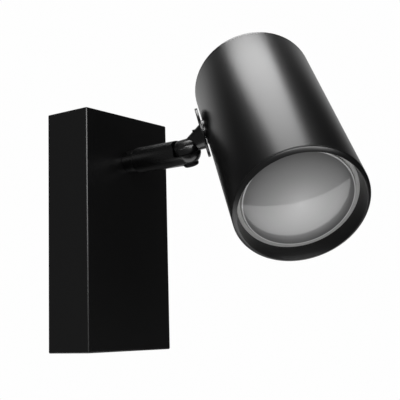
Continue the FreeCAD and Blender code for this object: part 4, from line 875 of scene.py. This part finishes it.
@dataclass
class Studio:
    """The photograph's camera, the pale floor and the studio's light."""

    camera_at: Point = (-346.2, -332.7, -49.1)
    right: Point = (0.60448021, -0.79622209, -0.02518067)
    ahead: Point = (0.79087659, 0.59603319, 0.13877557)
    lens: float = 82.08
    sensor: float = 36.0
    sight: tuple[float, float] = (0.01, 200.0)
    floor_height: float = -300.0
    floor_reach: float = 60000.0
    shadow_reach: tuple[float, float] = (0.7, 2.2)
    backdrop: float = 0.99
    fill: float = 0.55
    screen_ahead: tuple[float, float] = (0.50, 0.88)
    screen_level: float = 0.72
    screen_top: tuple[float, float] = (0.32, 0.70)
    screen_above: float = 0.08
    side_towards: tuple[float, float] = (-0.2, -0.8)
    side_level: tuple[float, float] = (0.03, 0.19)
    head_middle: float = 50.0
    softbox_towards: Point = (0.05, 0.19, 0.985)
    softbox_across: Point = (0.65, -0.75, 0.11)
    softbox_away: float = 1500.0
    softbox_size: tuple[float, float] = (930.0, 1200.0)
    softbox_level: float = 6.6
    key_level: float = 1.6
    panel_at: Point = (76.0, -148.0, -285.0)
    panel_size: tuple[float, float] = (900.0, 220.0)
    panel_level: float = 2.2
    card_at: Point = (-640.0, -1010.0, 350.0)
    card_size: tuple[float, float] = (1300.0, 450.0)
    card_level: float = 9.0

    def build(self) -> None:
        """Sets up camera, floor, world and lamps."""
        self.place_camera()
        self.lay_floor()
        self.light_world()
        self.hang_softbox()
        self.lay_panel()
        self.stand_card()
        bpy.context.scene.view_settings.view_transform = "Standard"

    def place_camera(self) -> None:
        """Puts the camera where the photograph was taken from."""
        data = bpy.data.cameras.new("camera")
        data.lens = self.lens
        data.sensor_width = self.sensor
        data.clip_start, data.clip_end = self.sight
        camera = bpy.data.objects.new("camera", data)
        bpy.context.scene.collection.objects.link(camera)
        camera.matrix_world = place(self.camera_at, self.right,
                                    tuple(-Vector(self.ahead)))
        bpy.context.scene.camera = camera

    def mirrored_room(self, tree: bpy.types.NodeTree,
                      direction: bpy.types.NodeSocket) -> bpy.types.NodeSocket:
        """How bright the dark studio and its white backdrop are in each direction.

        Args:
            tree: the tree that gets the nodes.
            direction: a direction away from the object.

        Returns:
            The level that glossy surfaces mirror.
        """
        towards = add(tree, "VectorMath", {"operation": "DOT_PRODUCT", 1: self.ahead},
                      {0: direction})
        spread = self.fade(tree, towards.outputs["Value"], self.screen_ahead,
                           (0.0, self.screen_level))
        parts = add(tree, "SeparateXYZ", links={"Vector": direction})
        height = self.fade(tree, parts.outputs["Z"], self.screen_top, (1.0, self.screen_above))
        screen = add(tree, "Math", {"operation": "MULTIPLY"}, {0: spread, 1: height})
        side = self.fade(tree, parts.outputs["X"], self.side_towards, self.side_level)
        level = add(tree, "Math", {"operation": "ADD"},
                    {0: screen.outputs["Value"], 1: side})
        return level.outputs["Value"]

    @staticmethod
    def fade(tree: bpy.types.NodeTree, value: bpy.types.NodeSocket,
             between: tuple[float, float], levels: tuple[float, float]) -> bpy.types.NodeSocket:
        """A smooth change from one level to another.

        Args:
            tree: the tree that gets the node.
            value: what it reads.
            between: where it starts and ends.
            levels: its level at each of them.

        Returns:
            The level's output.
        """
        node = add(tree, "MapRange", {"interpolation_type": "SMOOTHSTEP",
                                      "From Min": between[0], "From Max": between[1],
                                      "To Min": levels[0], "To Max": levels[1]},
                   {"Value": value})
        return node.outputs["Result"]

    def light_world(self) -> None:
        """White where the camera looks past the object, the studio in reflections."""
        world = bpy.data.worlds.new("studio")
        world.use_nodes = True
        world.cycles.sampling_method = "NONE"
        bpy.context.scene.world = world
        tree = world.node_tree
        tree.nodes.clear()
        spots = add(tree, "TexCoord")
        path = add(tree, "LightPath")
        room = self.mirrored_room(tree, spots.outputs["Generated"])
        mirrored = add(tree, "Math", {"operation": "MAXIMUM"},
                       {0: path.outputs["Is Glossy Ray"], 1: path.outputs["Is Transmission Ray"]})
        seen = add(tree, "Mix", {"data_type": "FLOAT", 2: self.fill},
                   {0: mirrored.outputs["Value"], 3: room})
        level = add(tree, "Mix", {"data_type": "FLOAT", 3: self.backdrop},
                    {0: path.outputs["Is Camera Ray"], 2: seen.outputs[0]})
        sky = add(tree, "Background", {"Color": linear("#ffffff")},
                  {"Strength": level.outputs[0]})
        add(tree, "OutputWorld", links={"Surface": sky.outputs["Background"]})

    def lay_floor(self) -> None:
        """A wide pale floor: it takes the object's shadow near by and is plain white far off."""
        bpy.ops.object.select_all(action="DESELECT")
        bpy.ops.mesh.primitive_plane_add(size=self.floor_reach * MM,
                                         location=(0, 0, self.floor_height * MM))
        floor = bpy.context.active_object
        floor.name = "studio_floor"
        material = bpy.data.materials.new("studio_floor_paper")
        material.use_nodes = True
        tree = material.node_tree
        tree.nodes.clear()
        path = add(tree, "LightPath")
        where = add(tree, "NewGeometry")
        outward = add(tree, "VectorMath", {"operation": "NORMALIZE"},
                      {0: where.outputs["Position"]})
        room = self.mirrored_room(tree, outward.outputs["Vector"])
        away = add(tree, "VectorMath", {"operation": "LENGTH"}, {0: where.outputs["Position"]})
        plain = self.fade(tree, away.outputs["Value"], self.shadow_reach, (0.0, 1.0))
        camera = add(tree, "Math", {"operation": "MULTIPLY"},
                     {0: path.outputs["Is Camera Ray"], 1: plain})
        mirrored = add(tree, "Math", {"operation": "MAXIMUM"},
                       {0: path.outputs["Is Glossy Ray"], 1: path.outputs["Is Transmission Ray"]})
        glow = add(tree, "Mix", {"data_type": "FLOAT", 3: self.backdrop},
                   {0: path.outputs["Is Camera Ray"], 2: room})
        lit = add(tree, "Math", {"operation": "MAXIMUM"},
                  {0: camera.outputs["Value"], 1: mirrored.outputs["Value"]})
        paper = add(tree, "BsdfDiffuse", {"Color": linear("#f9f9f9")})
        light = add(tree, "Emission", {"Color": linear("#ffffff")},
                    {"Strength": glow.outputs[0]})
        both = add(tree, "MixShader", links={0: lit.outputs["Value"], 1: paper.outputs["BSDF"],
                                             2: light.outputs["Emission"]})
        add(tree, "OutputMaterial", links={"Surface": both.outputs["Shader"]})
        floor.data.materials.append(material)

    def hang_softbox(self) -> None:
        """The large soft lamp over the object, which draws the stripe along the tube.

        Its face is far brighter than white, so a second lamp in its place lights matt surfaces
        at a plain level and the first is kept to reflections.
        """
        middle = HEAD @ Vector((0, 0, -self.head_middle * MM))
        towards = Vector(self.softbox_towards).normalized()
        across = Vector(self.softbox_across)
        across -= towards * across.dot(towards)
        at = place(tuple(middle / MM + towards * self.softbox_away), tuple(across), tuple(towards))
        shine = self.area_lamp("softbox", at, self.softbox_size, self.softbox_level)
        shine.visible_diffuse = False
        key = self.area_lamp("softbox_key", at, self.softbox_size, self.key_level)
        key.visible_glossy = False

    def lay_panel(self) -> None:
        """The bright reflector under the lamp head, which only glossy surfaces show."""
        across = (self.right[0], self.right[1], 0.0)
        lamp = self.area_lamp("reflector_panel", place(self.panel_at, across, (0, 0, -1)),
                              self.panel_size, self.panel_level)
        lamp.visible_diffuse = False

    def stand_card(self) -> None:
        """The white card above the camera, which draws thin lines on edges that face it."""
        out = Vector(self.card_at)
        across = (self.right[0], self.right[1], 0.0)
        lamp = self.area_lamp("camera_card", place(self.card_at, across, tuple(out)),
                              self.card_size, self.card_level)
        lamp.visible_diffuse = False

    def area_lamp(self, name: str, at: Matrix, size: tuple[float, float],
                  level: float) -> bpy.types.Object:
        """Adds a rectangular lamp that shines along its frame's -Z.

        Args:
            name: the lamp's name.
            at: its frame.
            size: its sides in millimetres.
            level: how bright its face is, where white is 1.

        Returns:
            The lamp.
        """
        data = bpy.data.lights.new(name, "AREA")
        data.shape = "RECTANGLE"
        data.size, data.size_y = size[0] * MM, size[1] * MM
        data.energy = level * math.pi * data.size * data.size_y
        lamp = bpy.data.objects.new(name, data)
        bpy.context.scene.collection.objects.link(lamp)
        lamp.matrix_world = at
        lamp.visible_camera = False
        return lamp


# ------------------------------------------------------------------ all together


def main() -> None:
    """Builds the light and its studio."""
    logging.basicConfig(level=logging.INFO, format="%(name)s: %(message)s")
    wardrobe = Wardrobe()
    for part in (WallBox(), SwivelArm(), KnuckleStem(), LampHead(), ReflectorLamp()):
        part.build(wardrobe)
        log.info("built %s", type(part).__name__)
    Studio().build()


if __name__ == "__main__":
    main()
